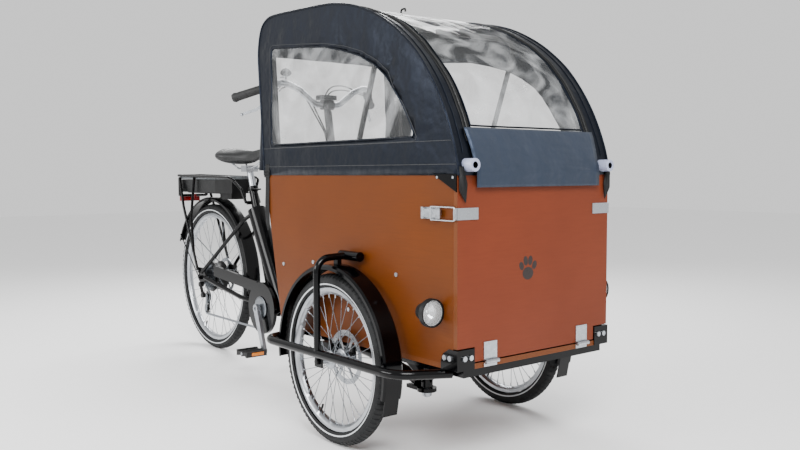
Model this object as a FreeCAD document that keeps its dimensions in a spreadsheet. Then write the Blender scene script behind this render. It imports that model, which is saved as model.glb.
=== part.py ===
import FreeCAD, Part
import math
import os
import Sketcher

# Cargo tricycle with an electric drive: two small front wheels carry a plywood box
# with a fabric canopy, and the whole front steers about a king pin under the box.
# Row frame: X forward, Y to the rider's left, Z up, Z = 0 on the ground.
# Heights are from the ground; X in the tables below is from the front axle and at()
# adds front_axle_x, which puts the middle of the tricycle on X = 0.

V = FreeCAD.Vector
TURN = FreeCAD.Rotation
X_AXIS = V(1, 0, 0)
Y_AXIS = V(0, 1, 0)
Z_AXIS = V(0, 0, 1)
RIGHT = -1
LEFT = 1
SIDES = ((RIGHT, "right"), (LEFT, "left"))

doc = FreeCAD.newDocument("cargo_tricycle")

DIMENSIONS = (
    # running gear
    ("front_axle_x", 650.3), ("wheelbase", 1474), ("track", 696),
    ("front_tyre_od", 500), ("rear_tyre_od", 653), ("tyre_width", 47), ("tyre_wall", 3.5),
    ("front_rim_radius", 209), ("rear_rim_radius", 285), ("rim_width", 27), ("rim_depth", 19),
    ("spoke_dia", 2), ("front_spokes", 36), ("rear_spokes", 36),
    ("front_hub_flange", 54), ("rear_hub_dia", 134), ("axle_dia", 10), ("shaft_gap", 0.1),
    ("rotor_dia", 160), ("rotor_thick", 2), ("seat_gap", 0.3),
    # plywood box
    ("box_front", 468), ("box_rear_top", 493), ("box_rear_bottom", 393), ("box_half_width", 296), ("floor_rebate", 1),
    ("box_floor", 288), ("box_top", 791), ("ply", 15), ("door_gap", 3), ("door_hinge_forward", 8),
    # front frame and king pin
    ("rail", 20), ("rail_wall", 2), ("rail_offset", 262), ("head_dia", 38), ("head_wall", 4),
    ("head_bottom", 112), ("pin_dia", 20), ("pin_flange", 63), ("pin_flange_top", 110),
    ("guard_dia", 25), ("guard_offset", 420), ("guard_height", 275), ("arch_dia", 20),
    ("tube_wall", 2), ("fender_gap", 22), ("fender_width", 64), ("fender_sheet", 2),
    # rear frame
    ("bracket_back", 962), ("bracket_height", 250), ("bracket_dia", 42), ("bracket_width", 68),
    ("beam_dia", 42), ("seat_tube_dia", 35), ("post_dia", 27.2), ("seat_top", 735),
    ("seat_lean", 18.4), ("stay_dia", 20), ("seat_stay_dia", 16), ("dropout_inside", 136),
    ("dropout_sheet", 6), ("rear_fender_gap", 26), ("rear_fender_width", 60),
    # drive
    ("chain_pitch", 12.7), ("chain_offset", 47.5), ("ring_teeth", 44), ("cog_teeth", 18),
    ("jockey_teeth", 11), ("tooth_thick", 1.8), ("chain_inside", 3), ("plate_thick", 1),
    ("plate_height", 8), ("crank_length", 170), ("crank_lean", 20), ("crank_outside", 85),
    ("crank_thick", 14), ("case_sheet", 2.5), ("case_outside", 58), ("case_inside", 44),
    # carrier and battery
    ("deck_height", 765), ("deck_thick", 14), ("deck_half_width", 60), ("carrier_rear", 1745),
    ("carrier_front", 1190), ("carrier_tube", 12), ("battery_length", 380), ("battery_height", 58),
    ("battery_half_width", 56), ("battery_gap", 1.5),
    # handlebar
    ("post_foot_back", 415), ("post_lean", 10.9), ("post_tube", 28), ("bar_dia", 22),
    ("grip_dia", 33), ("cable_dia", 5), ("bell_dia", 40),
    # canopy
    ("fabric", 3), ("sheet", 1), ("canopy_crown", 1306), ("hoop_dia", 16), ("sleeve_dia", 33),
    ("window_lap", 12),
)

sheet = doc.addObject("Spreadsheet::Sheet", "dims")
for row, (alias, value) in enumerate(DIMENSIONS, start=1):
    sheet.set(f"A{row}", alias)
    sheet.set(f"B{row}", str(value))
    sheet.setAlias(f"B{row}", alias)
doc.recompute()


# ---------------------------------------------------------------- helpers

def size(alias):
    """A number from the sheet."""
    return float(sheet.get(alias))


def at(x, y, z):
    """A point in the row frame; x counts from the front axle."""
    return V(size("front_axle_x") + x, y, z)


def bind(thing, prop, expression):
    """Binds one property to the sheet; words in the expression are aliases."""
    words = sorted({word for word, number in DIMENSIONS}, key=len, reverse=True)
    text = " " + str(expression) + " "
    for word in words:
        for before in " (-+*/":
            text = text.replace(before + word, before + "dims." + word)
    thing.setExpression(prop, text.strip())


def move(thing, base, direction=Z_AXIS, spin=0):
    """Puts local +Z along direction, then the origin at base."""
    turned = TURN(Z_AXIS, direction).multiply(TURN(Z_AXIS, spin))
    thing.Placement = FreeCAD.Placement(base, turned)
    return thing


def block(name, length, width, height, corner):
    """A box from its lowest corner; the three sizes are expressions."""
    thing = doc.addObject("Part::Box", name)
    for prop, expression in zip(("Length", "Width", "Height"), (length, width, height)):
        bind(thing, prop, expression)
    thing.Placement.Base = corner
    return thing


def rod(name, radius, length, base, direction=Z_AXIS):
    """A round bar from base along direction."""
    thing = doc.addObject("Part::Cylinder", name)
    bind(thing, "Radius", radius)
    bind(thing, "Height", length)
    return move(thing, base, direction)


def cone(name, radius, end_radius, length, base, direction=Z_AXIS):
    thing = doc.addObject("Part::Cone", name)
    bind(thing, "Radius1", radius)
    bind(thing, "Radius2", end_radius)
    bind(thing, "Height", length)
    return move(thing, base, direction)


def ball(name, radius, centre, low=-90, high=90):
    thing = doc.addObject("Part::Sphere", name)
    bind(thing, "Radius", radius)
    thing.Angle1 = low
    thing.Angle2 = high
    thing.Placement.Base = centre
    return thing


def cut(name, base, *tools):
    for number, tool in enumerate(tools):
        result = doc.addObject("Part::Cut", f"{name}_cut{number}")
        result.Base = base
        result.Tool = tool
        base = result
    base.Label = name
    return base


def fuse(name, *pieces):
    result = doc.addObject("Part::MultiFuse", name)
    result.Shapes = list(pieces)
    return result


def group(name, *pieces):
    """Separate solids that share one node."""
    result = doc.addObject("Part::Compound", name)
    result.Links = list(pieces)
    return result


def mirror(name, piece):
    """The same piece on the other side of the tricycle."""
    result = doc.addObject("Part::Mirroring", name)
    result.Source = piece
    result.Normal = Y_AXIS
    return result


def both(name, piece):
    """The right and the left piece as one node."""
    return group(name, piece, mirror(name + "_left_copy", piece))


def ring(name, outer, inner, length, base, direction=Z_AXIS):
    return cut(name, rod(name + "_out", outer, length, base, direction),
               rod(name + "_in", inner, length, base, direction))


def route(name, points, bend):
    """A path of straight runs joined by tangent arcs; bend is the largest radius."""
    edges = []
    start = points[0]
    for before, corner, after in zip(points, points[1:], points[2:]):
        inward = (before - corner).normalize()
        onward = (after - corner).normalize()
        half = (math.pi - inward.getAngle(onward)) / 2
        if half < math.radians(0.5):
            continue
        shorter = min((before - corner).Length, (after - corner).Length)
        radius = min(bend, 0.45 * shorter / math.tan(half))
        back = radius * math.tan(half)
        first = corner + inward * back
        last = corner + onward * back
        centre_way = (inward + onward).normalize()
        middle = corner + centre_way * (radius / math.cos(half) - radius)
        edges.append(Part.LineSegment(start, first).toShape())
        edges.append(Part.Arc(first, middle, last).toShape())
        start = last
    edges.append(Part.LineSegment(start, points[-1]).toShape())
    path = doc.addObject("Part::Feature", name)
    path.Shape = Part.Wire(edges)
    return path


def pipe(name, radius, points, bend=60):
    """A solid round bar swept along a bent path."""
    path = route(name + "_path", points, bend)
    section = doc.addObject("Part::Circle", name + "_section")
    bind(section, "Radius", radius)
    move(section, points[0], points[1] - points[0])
    sweep = doc.addObject("Part::Sweep", name)
    sweep.Sections = [section]
    sweep.Spine = (path, [f"Edge{n + 1}" for n in range(len(path.Shape.Edges))])
    sweep.Solid = True
    return sweep


def hollow(name, tubes, extras=(), wall="tube_wall"):
    """Welded tubes: all outsides fused with the extras, then all bores cut away."""
    outsides = [pipe(f"{name}_{n}", f"{dia} / 2", points, bend)
                for n, (dia, points, bend) in enumerate(tubes)]
    bores = [pipe(f"{name}_bore{n}", f"{dia} / 2 - {wall}", points, bend)
             for n, (dia, points, bend) in enumerate(tubes)]
    whole = fuse(name + "_whole", *outsides, *extras) if len(outsides) + len(extras) > 1 else outsides[0]
    bore = fuse(name + "_bores", *bores) if len(bores) > 1 else bores[0]
    return cut(name, whole, bore)


def origin_plane(body, role):
    return [item for item in body.Origin.OriginFeatures if item.Role == role][0]


def outline(body, name, role, points):
    """A closed sketch of straight lines; each corner is bound to the sheet."""
    sketch = body.newObject("Sketcher::SketchObject", name)
    sketch.AttachmentSupport = [(origin_plane(body, role), "")]
    sketch.MapMode = "FlatFace"
    flat = [V(sheet.evalExpression(bound(a)), sheet.evalExpression(bound(b)), 0) for a, b in points]
    count = len(points)
    lines = [Part.LineSegment(flat[n], flat[(n + 1) % count]) for n in range(count)]
    sketch.addGeometry(lines, False)
    sketch.addConstraint([Sketcher.Constraint("Coincident", n, 2, (n + 1) % count, 1)
                          for n in range(count)])
    for n, (across, up) in enumerate(points):
        for kind, now, expression in (("DistanceX", flat[n].x, across), ("DistanceY", flat[n].y, up)):
            index = sketch.addConstraint(Sketcher.Constraint(kind, -1, 1, n, 1, now))
            bind(sketch, f"Constraints[{index}]", expression)
    return sketch


def bound(expression):
    """The expression as a number the sheet can work out."""
    text = " " + str(expression) + " "
    for word, number in sorted(DIMENSIONS, key=lambda pair: -len(pair[0])):
        for before in " (-+*/":
            text = text.replace(before + word, before + repr(float(sheet.get(word))))
    return text.strip()


def plate(name, points, thickness, base, role="XZ_Plane"):
    """A flat plate from an outline; XZ plates grow towards -Y, XY plates towards +Z."""
    body = doc.addObject("PartDesign::Body", name)
    sketch = outline(body, name + "_outline", role, points)
    pad = body.newObject("PartDesign::Pad", name + "_pad")
    pad.Profile = sketch
    bind(pad, "Length", thickness)
    body.Placement.Base = base
    return body


def turned(name, points, base, direction=Z_AXIS, angle=360, spin=0):
    """A turned piece; points are (radius, height along the axis)."""
    body = doc.addObject("PartDesign::Body", name)
    sketch = outline(body, name + "_profile", "XZ_Plane", points)
    revolution = body.newObject("PartDesign::Revolution", name + "_turn")
    revolution.Profile = sketch
    revolution.ReferenceAxis = (sketch, ["V_Axis"])
    revolution.Angle = angle
    return move(body, base, direction, spin)


def shaped(name, shape):
    """A piece whose shape comes from Part's own functions."""
    thing = doc.addObject("Part::Feature", name)
    thing.Shape = shape
    return thing


def polar(centre, radius, degrees):
    """A point on a circle in the XZ plane; 0 is forward, 90 is up."""
    angle = math.radians(degrees)
    return centre + V(radius * math.cos(angle), 0, radius * math.sin(angle))


# ---------------------------------------------------------------- wheels

FRONT_Y = size("track") / 2
FRONT_R = size("front_tyre_od") / 2
REAR_X = -size("wheelbase")
REAR_R = size("rear_tyre_od") / 2
HUB_INSIDE = FRONT_Y - 54.5      # inner lock nut of a front hub
HUB_OUTSIDE = FRONT_Y + 55.5     # outer lock nut of a front hub


def tyre(name, dia, rim_radius, centre):
    """An open tyre carcass that ends just above the rim's edges."""
    body = doc.addObject("Part::Torus", name + "_body")
    bind(body, "Radius1", f"{dia} / 2 - tyre_width / 2")
    bind(body, "Radius2", "tyre_width / 2")
    air = doc.addObject("Part::Torus", name + "_air")
    bind(air, "Radius1", f"{dia} / 2 - tyre_width / 2")
    bind(air, "Radius2", "tyre_width / 2 - tyre_wall")
    move(body, centre, Y_AXIS)
    move(air, centre, Y_AXIS)
    bed = rod(name + "_bed", f"{rim_radius} + seat_gap", "tyre_width + 4",
              centre - V(0, size("tyre_width") / 2 + 2, 0), Y_AXIS)
    return cut(name, body, air, bed)


def rim(name, radius, centre):
    """A double-wall rim: two hooked edges, a flat bed and a tapered spoke bed."""
    half = "rim_width / 2"
    points = ((radius, f"0 - {half}"), (radius, f"2 - {half}"), (f"{radius} - 8", f"2 - {half}"),
              (f"{radius} - 8", f"{half} - 2"), (radius, f"{half} - 2"), (radius, half),
              (f"{radius} - 10", half), (f"{radius} - rim_depth", "7"),
              (f"{radius} - rim_depth", "0 - 7"), (f"{radius} - 10", f"0 - {half}"))
    return turned(name, points, centre, Y_AXIS)


def spokes(name, count, rim_radius, centre, flange_radius, flange_right, flange_left):
    """Crossed spokes from two hub flanges to the rim's spoke bed."""
    rods = []
    cross = 360 / count * 3
    for n in range(count):
        lean = cross if n % 4 < 2 else -cross
        flange_y = flange_right if n % 2 else flange_left
        foot = polar(centre, flange_radius - 3, n * 360 / count + lean) + V(0, flange_y, 0)
        head = polar(centre, rim_radius - size("rim_depth") + 1, n * 360 / count)
        rods.append(Part.makeCylinder(size("spoke_dia") / 2, (head - foot).Length, foot, head - foot))
    return shaped(name, Part.makeCompound(rods))


def rotor(name, centre, y):
    """A brake disc with three rings of holes and a cut-out centre."""
    base = centre + V(0, y, 0)
    disc = Part.makeCylinder(size("rotor_dia") / 2, size("rotor_thick"), base, Y_AXIS)
    disc = disc.cut(Part.makeCylinder(size("rotor_dia") / 2 - 16, size("rotor_thick"), base, Y_AXIS))
    for n in range(6):
        spoke = Part.makeBox(size("rotor_dia") / 2 - 26, size("rotor_thick"), 9, base + V(14, 0, -4.5))
        spoke.rotate(base, Y_AXIS, 60 * n)
        disc = disc.fuse(spoke)
    centre_ring = Part.makeCylinder(22, size("rotor_thick"), base, Y_AXIS)
    bore = Part.makeCylinder(17, size("rotor_thick"), base, Y_AXIS)
    disc = disc.fuse(centre_ring).cut(bore)
    holes = [Part.makeCylinder(2.2, size("rotor_thick"), polar(base, size("rotor_dia") / 2 - 5 - 3 * (n % 3),
                                                              n * 12), Y_AXIS) for n in range(30)]
    return shaped(name, disc.cut(Part.makeCompound(holes)))


def front_wheel(side, word):
    """Tyre, rim, spokes, hub and brake disc of one front wheel."""
    centre = at(0, side * FRONT_Y, FRONT_R)
    carcass = tyre(f"front_{word}_tyre", "front_tyre_od", "front_rim_radius", centre)
    hoop = rim(f"front_{word}_hoop", "front_rim_radius", centre)
    wires = spokes(f"front_{word}_spokes", int(size("front_spokes")), size("front_rim_radius"),
                   centre, size("front_hub_flange") / 2, -20, 20)
    low = -54
    profile = (("axle_dia / 2 + shaft_gap", low), ("9", low), ("9", "0 - 40"), ("17", "0 - 36"),
               ("17", "0 - 22"), ("front_hub_flange / 2", "0 - 22"), ("front_hub_flange / 2", "0 - 18"),
               ("16", "0 - 14"), ("16", "14"), ("front_hub_flange / 2", "18"),
               ("front_hub_flange / 2", "22"), ("14", "24"), ("9", "32"), ("9", "55"),
               ("axle_dia / 2 + shaft_gap", "55"))
    hub = turned(f"front_{word}_hub", profile, centre, Y_AXIS * side)
    disc = rotor(f"front_{word}_disc", centre, -side * 36 - size("rotor_thick") / 2)
    built = fuse(f"front_{word}_built", hoop, wires, hub)
    return carcass, group(f"front_{word}_wheel", built, disc)


def rear_wheel():
    """The driven wheel: a hub motor, with the brake disc on the left."""
    centre = at(REAR_X, 0, REAR_R)
    carcass = tyre("rear_tyre", "rear_tyre_od", "rear_rim_radius", centre)
    hoop = rim("rear_hoop", "rear_rim_radius", centre)
    wires = spokes("rear_spoke_set", int(size("rear_spokes")), size("rear_rim_radius"), centre,
                   size("rear_hub_dia") / 2, -21, 27)
    profile = (("axle_dia / 2 + shaft_gap", "0 - 30"), ("20", "0 - 30"), ("24", "0 - 27"),
               ("rear_hub_dia / 2 - 8", "0 - 25"), ("rear_hub_dia / 2", "0 - 23"),
               ("rear_hub_dia / 2", "0 - 19"), ("rear_hub_dia / 2 - 6", "0 - 17"),
               ("rear_hub_dia / 2 - 6", "23"), ("rear_hub_dia / 2", "25"), ("rear_hub_dia / 2", "29"),
               ("rear_hub_dia / 2 - 8", "32"), ("20", "38"), ("20", "50"), ("17", "50"), ("17", "54"),
               ("12", "54"), ("12", "67"), ("axle_dia / 2 + shaft_gap", "67"))
    motor = turned("rear_hub_motor", profile, centre, Y_AXIS)
    disc = rotor("rear_disc", centre, 50)
    built = fuse("rear_built", hoop, wires, motor)
    return carcass, group("rear_wheel", built, disc)


# ---------------------------------------------------------------- chain drive

BRACKET = at(-size("bracket_back"), 0, size("bracket_height"))
REAR_CENTRE = at(REAR_X, 0, REAR_R)
CHAIN_Y = -size("chain_offset")
UPPER_JOCKEY = REAR_CENTRE + V(12, 0, -84)
LOWER_JOCKEY = REAR_CENTRE + V(5, 0, -142.5)


def pitch_radius(teeth):
    return size("chain_pitch") / (2 * math.sin(math.pi / teeth))


def toothed(name, teeth, centre, bore, thick=None, windows=0):
    """A sprocket: a disc at the root radius with one wedge tooth for each pitch."""
    thick = thick or size("tooth_thick")
    root = pitch_radius(teeth) - 4
    tip = pitch_radius(teeth) + 3.5
    base = centre - V(0, thick / 2, 0)
    shape = Part.makeCylinder(root, thick, base, Y_AXIS)
    wedges = []
    for n in range(teeth):
        angle = 360 / teeth * n
        half_root = 360 / teeth * 0.36
        half_tip = 360 / teeth * 0.09
        corners = [polar(base, root - 1, angle - half_root), polar(base, tip, angle - half_tip),
                   polar(base, tip, angle + half_tip), polar(base, root - 1, angle + half_root)]
        face = Part.Face(Part.makePolygon(corners + corners[:1]))
        wedges.append(face.extrude(V(0, thick, 0)))
    shape = shape.multiFuse(wedges)
    shape = shape.cut(Part.makeCylinder(bore, thick, base, Y_AXIS))
    for n in range(windows):
        hole = Part.makeCylinder(root * 0.2, thick, polar(base, root * 0.66, 360 / windows * n), Y_AXIS)
        shape = shape.cut(hole)
    return shape


def belt(circles):
    """A closed path of tangent lines and arcs round circles (centre, radius, way) in
    the XZ plane; way is 1 for anticlockwise seen with X right and Z up, -1 for the other."""
    count = len(circles)
    leave = []
    arrive = []
    for n in range(count):
        (c1, r1, w1), (c2, r2, w2) = circles[n], circles[(n + 1) % count]
        gap = c2 - c1
        length = math.hypot(gap.x, gap.z)
        base = math.atan2(gap.z, gap.x)
        offset = math.asin((w1 * r1 - w2 * r2) / length)
        heading = base + offset
        normal = V(math.sin(heading), 0, -math.cos(heading))
        leave.append(c1 + normal * (r1 * w1))
        arrive.append(c2 + normal * (r2 * w2))
    edges = []
    for n in range(count):
        centre, radius, way = circles[n]
        start = arrive[n - 1]
        end = leave[n]
        first = math.atan2(start.z - centre.z, start.x - centre.x)
        last = math.atan2(end.z - centre.z, end.x - centre.x)
        sweep = (last - first) % (2 * math.pi) if way > 0 else -((first - last) % (2 * math.pi))
        middle = polar(centre, radius, math.degrees(first + sweep / 2))
        edges.append(Part.Arc(start, middle, end).toShape())
        edges.append(Part.LineSegment(end, arrive[n]).toShape())
    return Part.Wire(edges), list(zip(leave, arrive))


def chain():
    """Two rows of side plates as bands, joined by pins on the straight runs."""
    y = V(0, CHAIN_Y, 0)
    wheels = ((BRACKET, pitch_radius(size("ring_teeth")), 1),
              (REAR_CENTRE, pitch_radius(size("cog_teeth")), 1),
              (UPPER_JOCKEY, pitch_radius(size("jockey_teeth")), -1),
              (LOWER_JOCKEY, pitch_radius(size("jockey_teeth")), 1))
    path, runs = belt([(centre + y, radius, way) for centre, radius, way in wheels])
    half = size("plate_height") / 2
    outside = Part.Face(path.makeOffset2D(half))
    inside = Part.Face(path.makeOffset2D(-half))
    band = outside.cut(inside).extrude(V(0, size("plate_thick"), 0))
    near = size("chain_inside") / 2
    pieces = [band.translated(V(0, near, 0)), band.translated(V(0, -near - size("plate_thick"), 0))]
    for start, end in (runs[0], runs[3]):
        way = (end - start).normalize()
        count = int((end - start).Length / size("chain_pitch"))
        for n in range(3, count - 2, 2):
            pin = start + way * (n * size("chain_pitch")) - V(0, near, 0)
            pieces.append(Part.makeCylinder(1.8, size("chain_inside"), pin, Y_AXIS))
    return shaped("chain", pieces[0].multiFuse(pieces[1:]))


def cassette():
    """Seven sprockets on one carrier; the chain lies on the fourth."""
    pieces = []
    for n, teeth in enumerate((28, 24, 21, int(size("cog_teeth")), 16, 14, 13)):
        y = CHAIN_Y + 4.5 * (3 - n)
        pieces.append(toothed(f"cog_{teeth}", teeth, REAR_CENTRE + V(0, y, 0), 14))
    core = Part.makeCylinder(18, 30, REAR_CENTRE + V(0, CHAIN_Y - 15, 0), Y_AXIS)
    core = core.cut(Part.makeCylinder(12, 30, REAR_CENTRE + V(0, CHAIN_Y - 15, 0), Y_AXIS))
    return shaped("cassette", core.multiFuse(pieces))


def crank_arm(name, side):
    """A forged arm that tapers from the spindle boss to the pedal eye."""
    length = size("crank_length")
    thick = size("crank_thick")
    way = V(math.sin(math.radians(size("crank_lean"))), 0, -math.cos(math.radians(size("crank_lean"))))
    start = BRACKET + V(0, side * size("crank_outside") - (thick if side > 0 else 0), 0)
    eye = start + way * (length * -side)
    across = V(way.z, 0, -way.x)
    corners = [start + across * 15, start - across * 15, eye - across * 10, eye + across * 10]
    web = Part.Face(Part.makePolygon(corners + corners[:1])).extrude(V(0, thick, 0))
    arm = web.fuse(Part.makeCylinder(17, thick, start, Y_AXIS)).fuse(Part.makeCylinder(12, thick, eye, Y_AXIS))
    return arm, eye + V(0, thick / 2, 0)


def crankset():
    """Arms, spindle and pedal spindles as separate solids of one node."""
    pieces = []
    eyes = {}
    for side, word in SIDES:
        arm, eyes[side] = crank_arm(word, side)
        edge = side * (size("crank_outside") - size("crank_thick"))
        arm = arm.cut(Part.makeCylinder(8, 30, BRACKET + V(0, edge - 8 - 7, 0), Y_AXIS))
        pieces.append(arm)
        start = eyes[side] + V(0, side * size("crank_thick") / 2, 0)
        pieces.append(Part.makeCylinder(6, 94, start, Y_AXIS * side))
    reach = size("crank_outside") - 4
    pieces.append(Part.makeCylinder(8, 2 * reach, BRACKET - V(0, reach, 0), Y_AXIS))
    return shaped("crank_arms", Part.makeCompound(pieces)), eyes


def chainring():
    """The toothed ring and the polished cover disc that turns with it."""
    centre = BRACKET + V(0, CHAIN_Y, 0)
    wheel = toothed("ring", int(size("ring_teeth")), centre, 8, size("tooth_thick"), 5)
    boss = Part.makeCylinder(20, 13, centre - V(0, 13.9, 0), Y_AXIS)
    boss = boss.cut(Part.makeCylinder(8, 13, centre - V(0, 13.9, 0), Y_AXIS))
    dish = Part.makeCone(40, 47, 3, centre - V(0, 16.9, 0), Y_AXIS)
    dish = dish.cut(Part.makeCylinder(8, 3, centre - V(0, 16.9, 0), Y_AXIS))
    return shaped("chainring", Part.makeCompound([wheel.fuse(boss), dish]))


def pedal(name, eye, side):
    """A resin pedal: two treads, two cross bars and a barrel on the spindle."""
    start = eye + V(0, side * (size("crank_thick") / 2 + 5), 0)
    barrel = Part.makeCylinder(11, 88, start, Y_AXIS * side)
    low = start.y if side > 0 else start.y - 88
    treads = []
    for x in (-42, 30):
        treads.append(Part.makeBox(12, 88, 22, V(eye.x + x, low, eye.z - 11)))
    for y in (0, 38, 76):
        treads.append(Part.makeBox(84, 12, 14, V(eye.x - 42, low + y, eye.z - 7)))
    body = barrel.multiFuse(treads)
    return shaped(name, body.cut(Part.makeCylinder(6 + size("shaft_gap"), 100, eye, Y_AXIS * side)))


def chain_case():
    """A one-sided cover: round over the chainring, then a band over the upper run."""
    sheet_wall = size("case_sheet")
    depth = size("case_outside") - size("case_inside")
    base = BRACKET + V(0, -size("case_outside"), 0)
    radius = 104
    tail = V(-420, 0, 112)

    def solid(inset, deep, start):
        disc = Part.makeCylinder(radius - inset, deep, start, Y_AXIS)
        corners = [start + V(-30, 0, radius - inset), start + tail + V(0, 0, 24 - inset),
                   start + tail + V(0, 0, -22 + inset), start + V(-60, 0, 60 + inset)]
        band = Part.Face(Part.makePolygon(corners + corners[:1])).extrude(V(0, deep, 0))
        return disc.fuse(band)

    shell = solid(0, depth, base).cut(solid(sheet_wall, depth, base + V(0, sheet_wall, 0)))
    shell = shell.cut(Part.makeCylinder(32, depth, base, Y_AXIS))
    lower_run = Part.makeBox(130, depth, 34, base + V(-130, sheet_wall, -radius))
    upper_end = Part.makeBox(20, depth, 40, base + tail + V(-10, sheet_wall, -16))
    return shaped("chain_case", shell.cut(lower_run).cut(upper_end))


def jockey(name, centre):
    wheel = toothed(name, int(size("jockey_teeth")), centre + V(0, CHAIN_Y, 0), 3 + size("shaft_gap"))
    hub = Part.makeCylinder(7, 8, centre + V(0, CHAIN_Y - 4, 0), Y_AXIS)
    return shaped(name, wheel.fuse(hub.cut(Part.makeCylinder(3 + size("shaft_gap"), 8,
                                                           centre + V(0, CHAIN_Y - 4, 0), Y_AXIS))))


def derailleur():
    """The fixed knuckles with their two links, and the swinging cage with its axles."""
    hanger = REAR_CENTRE + V(6, -74, -30)
    knuckle = Part.makeCylinder(11, 12, hanger - V(0, 12, 0), Y_AXIS)
    low = UPPER_JOCKEY + V(4, -74, 6)
    foot = Part.makeCylinder(12, 14, low - V(0, 6, 0), Y_AXIS)
    links = []
    for x in (-8, 8):
        start = hanger + V(x, -6, 0)
        end = low + V(x, 0, 0)
        links.append(Part.makeCylinder(3.5, (end - start).Length, start, end - start))
    body = knuckle.multiFuse([foot] + links)
    plates = []
    for y in (-8, 6):
        base = V(0, CHAIN_Y + y, 0)
        ends = [Part.makeCylinder(10, 2, centre + base, Y_AXIS) for centre in (UPPER_JOCKEY, LOWER_JOCKEY)]
        way = (LOWER_JOCKEY - UPPER_JOCKEY).normalize()
        across = V(way.z, 0, -way.x) * 8
        corners = [UPPER_JOCKEY + base + across, UPPER_JOCKEY + base - across,
                   LOWER_JOCKEY + base - across, LOWER_JOCKEY + base + across]
        web = Part.Face(Part.makePolygon(corners + corners[:1])).extrude(V(0, 2, 0))
        plates.append(web.fuse(ends[0]).fuse(ends[1]))
    for centre in (UPPER_JOCKEY, LOWER_JOCKEY):
        plates.append(Part.makeCylinder(3, 12, centre + V(0, CHAIN_Y - 6, 0), Y_AXIS))
    return shaped("derailleur_body", body), shaped("derailleur_cage", plates[0].multiFuse(plates[1:]))


# ---------------------------------------------------------------- rear frame

LEAN = math.radians(size("seat_lean"))
SEAT_WAY = V(-math.sin(LEAN), 0, math.cos(LEAN))


def on_seat_tube(height):
    """The point of the seat tube's axis at a height above the ground."""
    return BRACKET + SEAT_WAY * ((height - BRACKET.z) / math.cos(LEAN))


def dropout(name, side):
    """A flat end plate with a tab for the derailleur or the brake."""
    inside = size("dropout_inside") / 2
    y = side * inside if side < 0 else inside + size("dropout_sheet")
    points = (("0 - 26", "0 - 14"), ("14", "0 - 40"), ("24", "0 - 18"), ("46", "0 - 8"), ("46", "12"),
              ("20", "44"), ("0 - 26", "44"))
    return plate(name, points, "dropout_sheet", REAR_CENTRE + V(0, y, 0))


def rear_frame():
    """Beam, seat tube, strut, stays and end plates, welded into one piece."""
    inside = size("dropout_inside") / 2 + size("dropout_sheet") - 1
    clamp = on_seat_tube(size("seat_top"))
    lug_z = size("pin_flange_top")
    beam = [at(-36, 0, lug_z + size("beam_dia") / 2 - 3), at(-300, 0, 176), at(-700, 0, 214), BRACKET]
    strut = [at(-868, 0, 236), on_seat_tube(640)]
    seat = [BRACKET, clamp]
    tubes = [("beam_dia", beam, 200), ("bracket_dia - 10", strut, 40)]
    for side, word in SIDES:
        axle = REAR_CENTRE + V(0, side * inside, 0)
        stay = [BRACKET + V(-8, side * 22, 4), at(-1065, side * 32, 262), at(-1150, side * 52, 274),
                axle + V(38, 0, 2)]
        upper = [on_seat_tube(632) + V(0, side * 10, 0), at(-1125, side * 42, 596), axle + V(8, 0, 24)]
        tubes.append(("stay_dia", stay, 120))
        tubes.append(("seat_stay_dia", upper, 60))
    flange = rod("pin_lug", "pin_flange / 2", 12, at(0, 0, lug_z - 12))
    tongue = block("pin_tongue", 62, "beam_dia", 12, at(-78, -size("beam_dia") / 2, lug_z - 12))
    shell = rod("bracket_shell", "bracket_dia / 2", "bracket_width",
                BRACKET - V(0, size("bracket_width") / 2, 0), Y_AXIS)
    upright = rod("seat_tube", "seat_tube_dia / 2", (clamp - BRACKET).Length, BRACKET, SEAT_WAY)
    bridge = rod("carrier_boss", 8, 50, at(-1127, -25, 668), Y_AXIS)
    ends = [dropout("right_dropout", RIGHT), dropout("left_dropout", LEFT)]
    whole = fuse("rear_frame_whole", hollow("rear_frame_tubes", tubes), flange, tongue, shell, upright, bridge, *ends)
    seat_bore = rod("seat_tube_bore", "post_dia / 2 + shaft_gap", (clamp - BRACKET).Length,
                    on_seat_tube(size("bracket_height") + 34), SEAT_WAY)
    spindle_bore = rod("bracket_bore", "bracket_dia / 2 - 4", "bracket_width",
                       BRACKET - V(0, size("bracket_width") / 2, 0), Y_AXIS)
    axle_bore = rod("dropout_bore", "axle_dia / 2", 200, REAR_CENTRE - V(0, 100, 0), Y_AXIS)
    pin_bore = rod("lug_bore", "pin_dia / 2", 14, at(0, 0, lug_z - 13))
    return cut("rear_frame", whole, seat_bore, spindle_bore, axle_bore, pin_bore)


def king_pin():
    """The steering pin with its nut below the lug."""
    lug_z = size("pin_flange_top")
    pin = rod("king_pin_bar", "pin_dia / 2", "box_floor - rail - 4 - pin_flange_top + 30", at(0, 0, lug_z - 30))
    nut = ring("king_pin_nut", 15, "pin_dia / 2", 14, at(0, 0, lug_z - 26.3))
    return group("king_pin", pin, nut)


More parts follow.
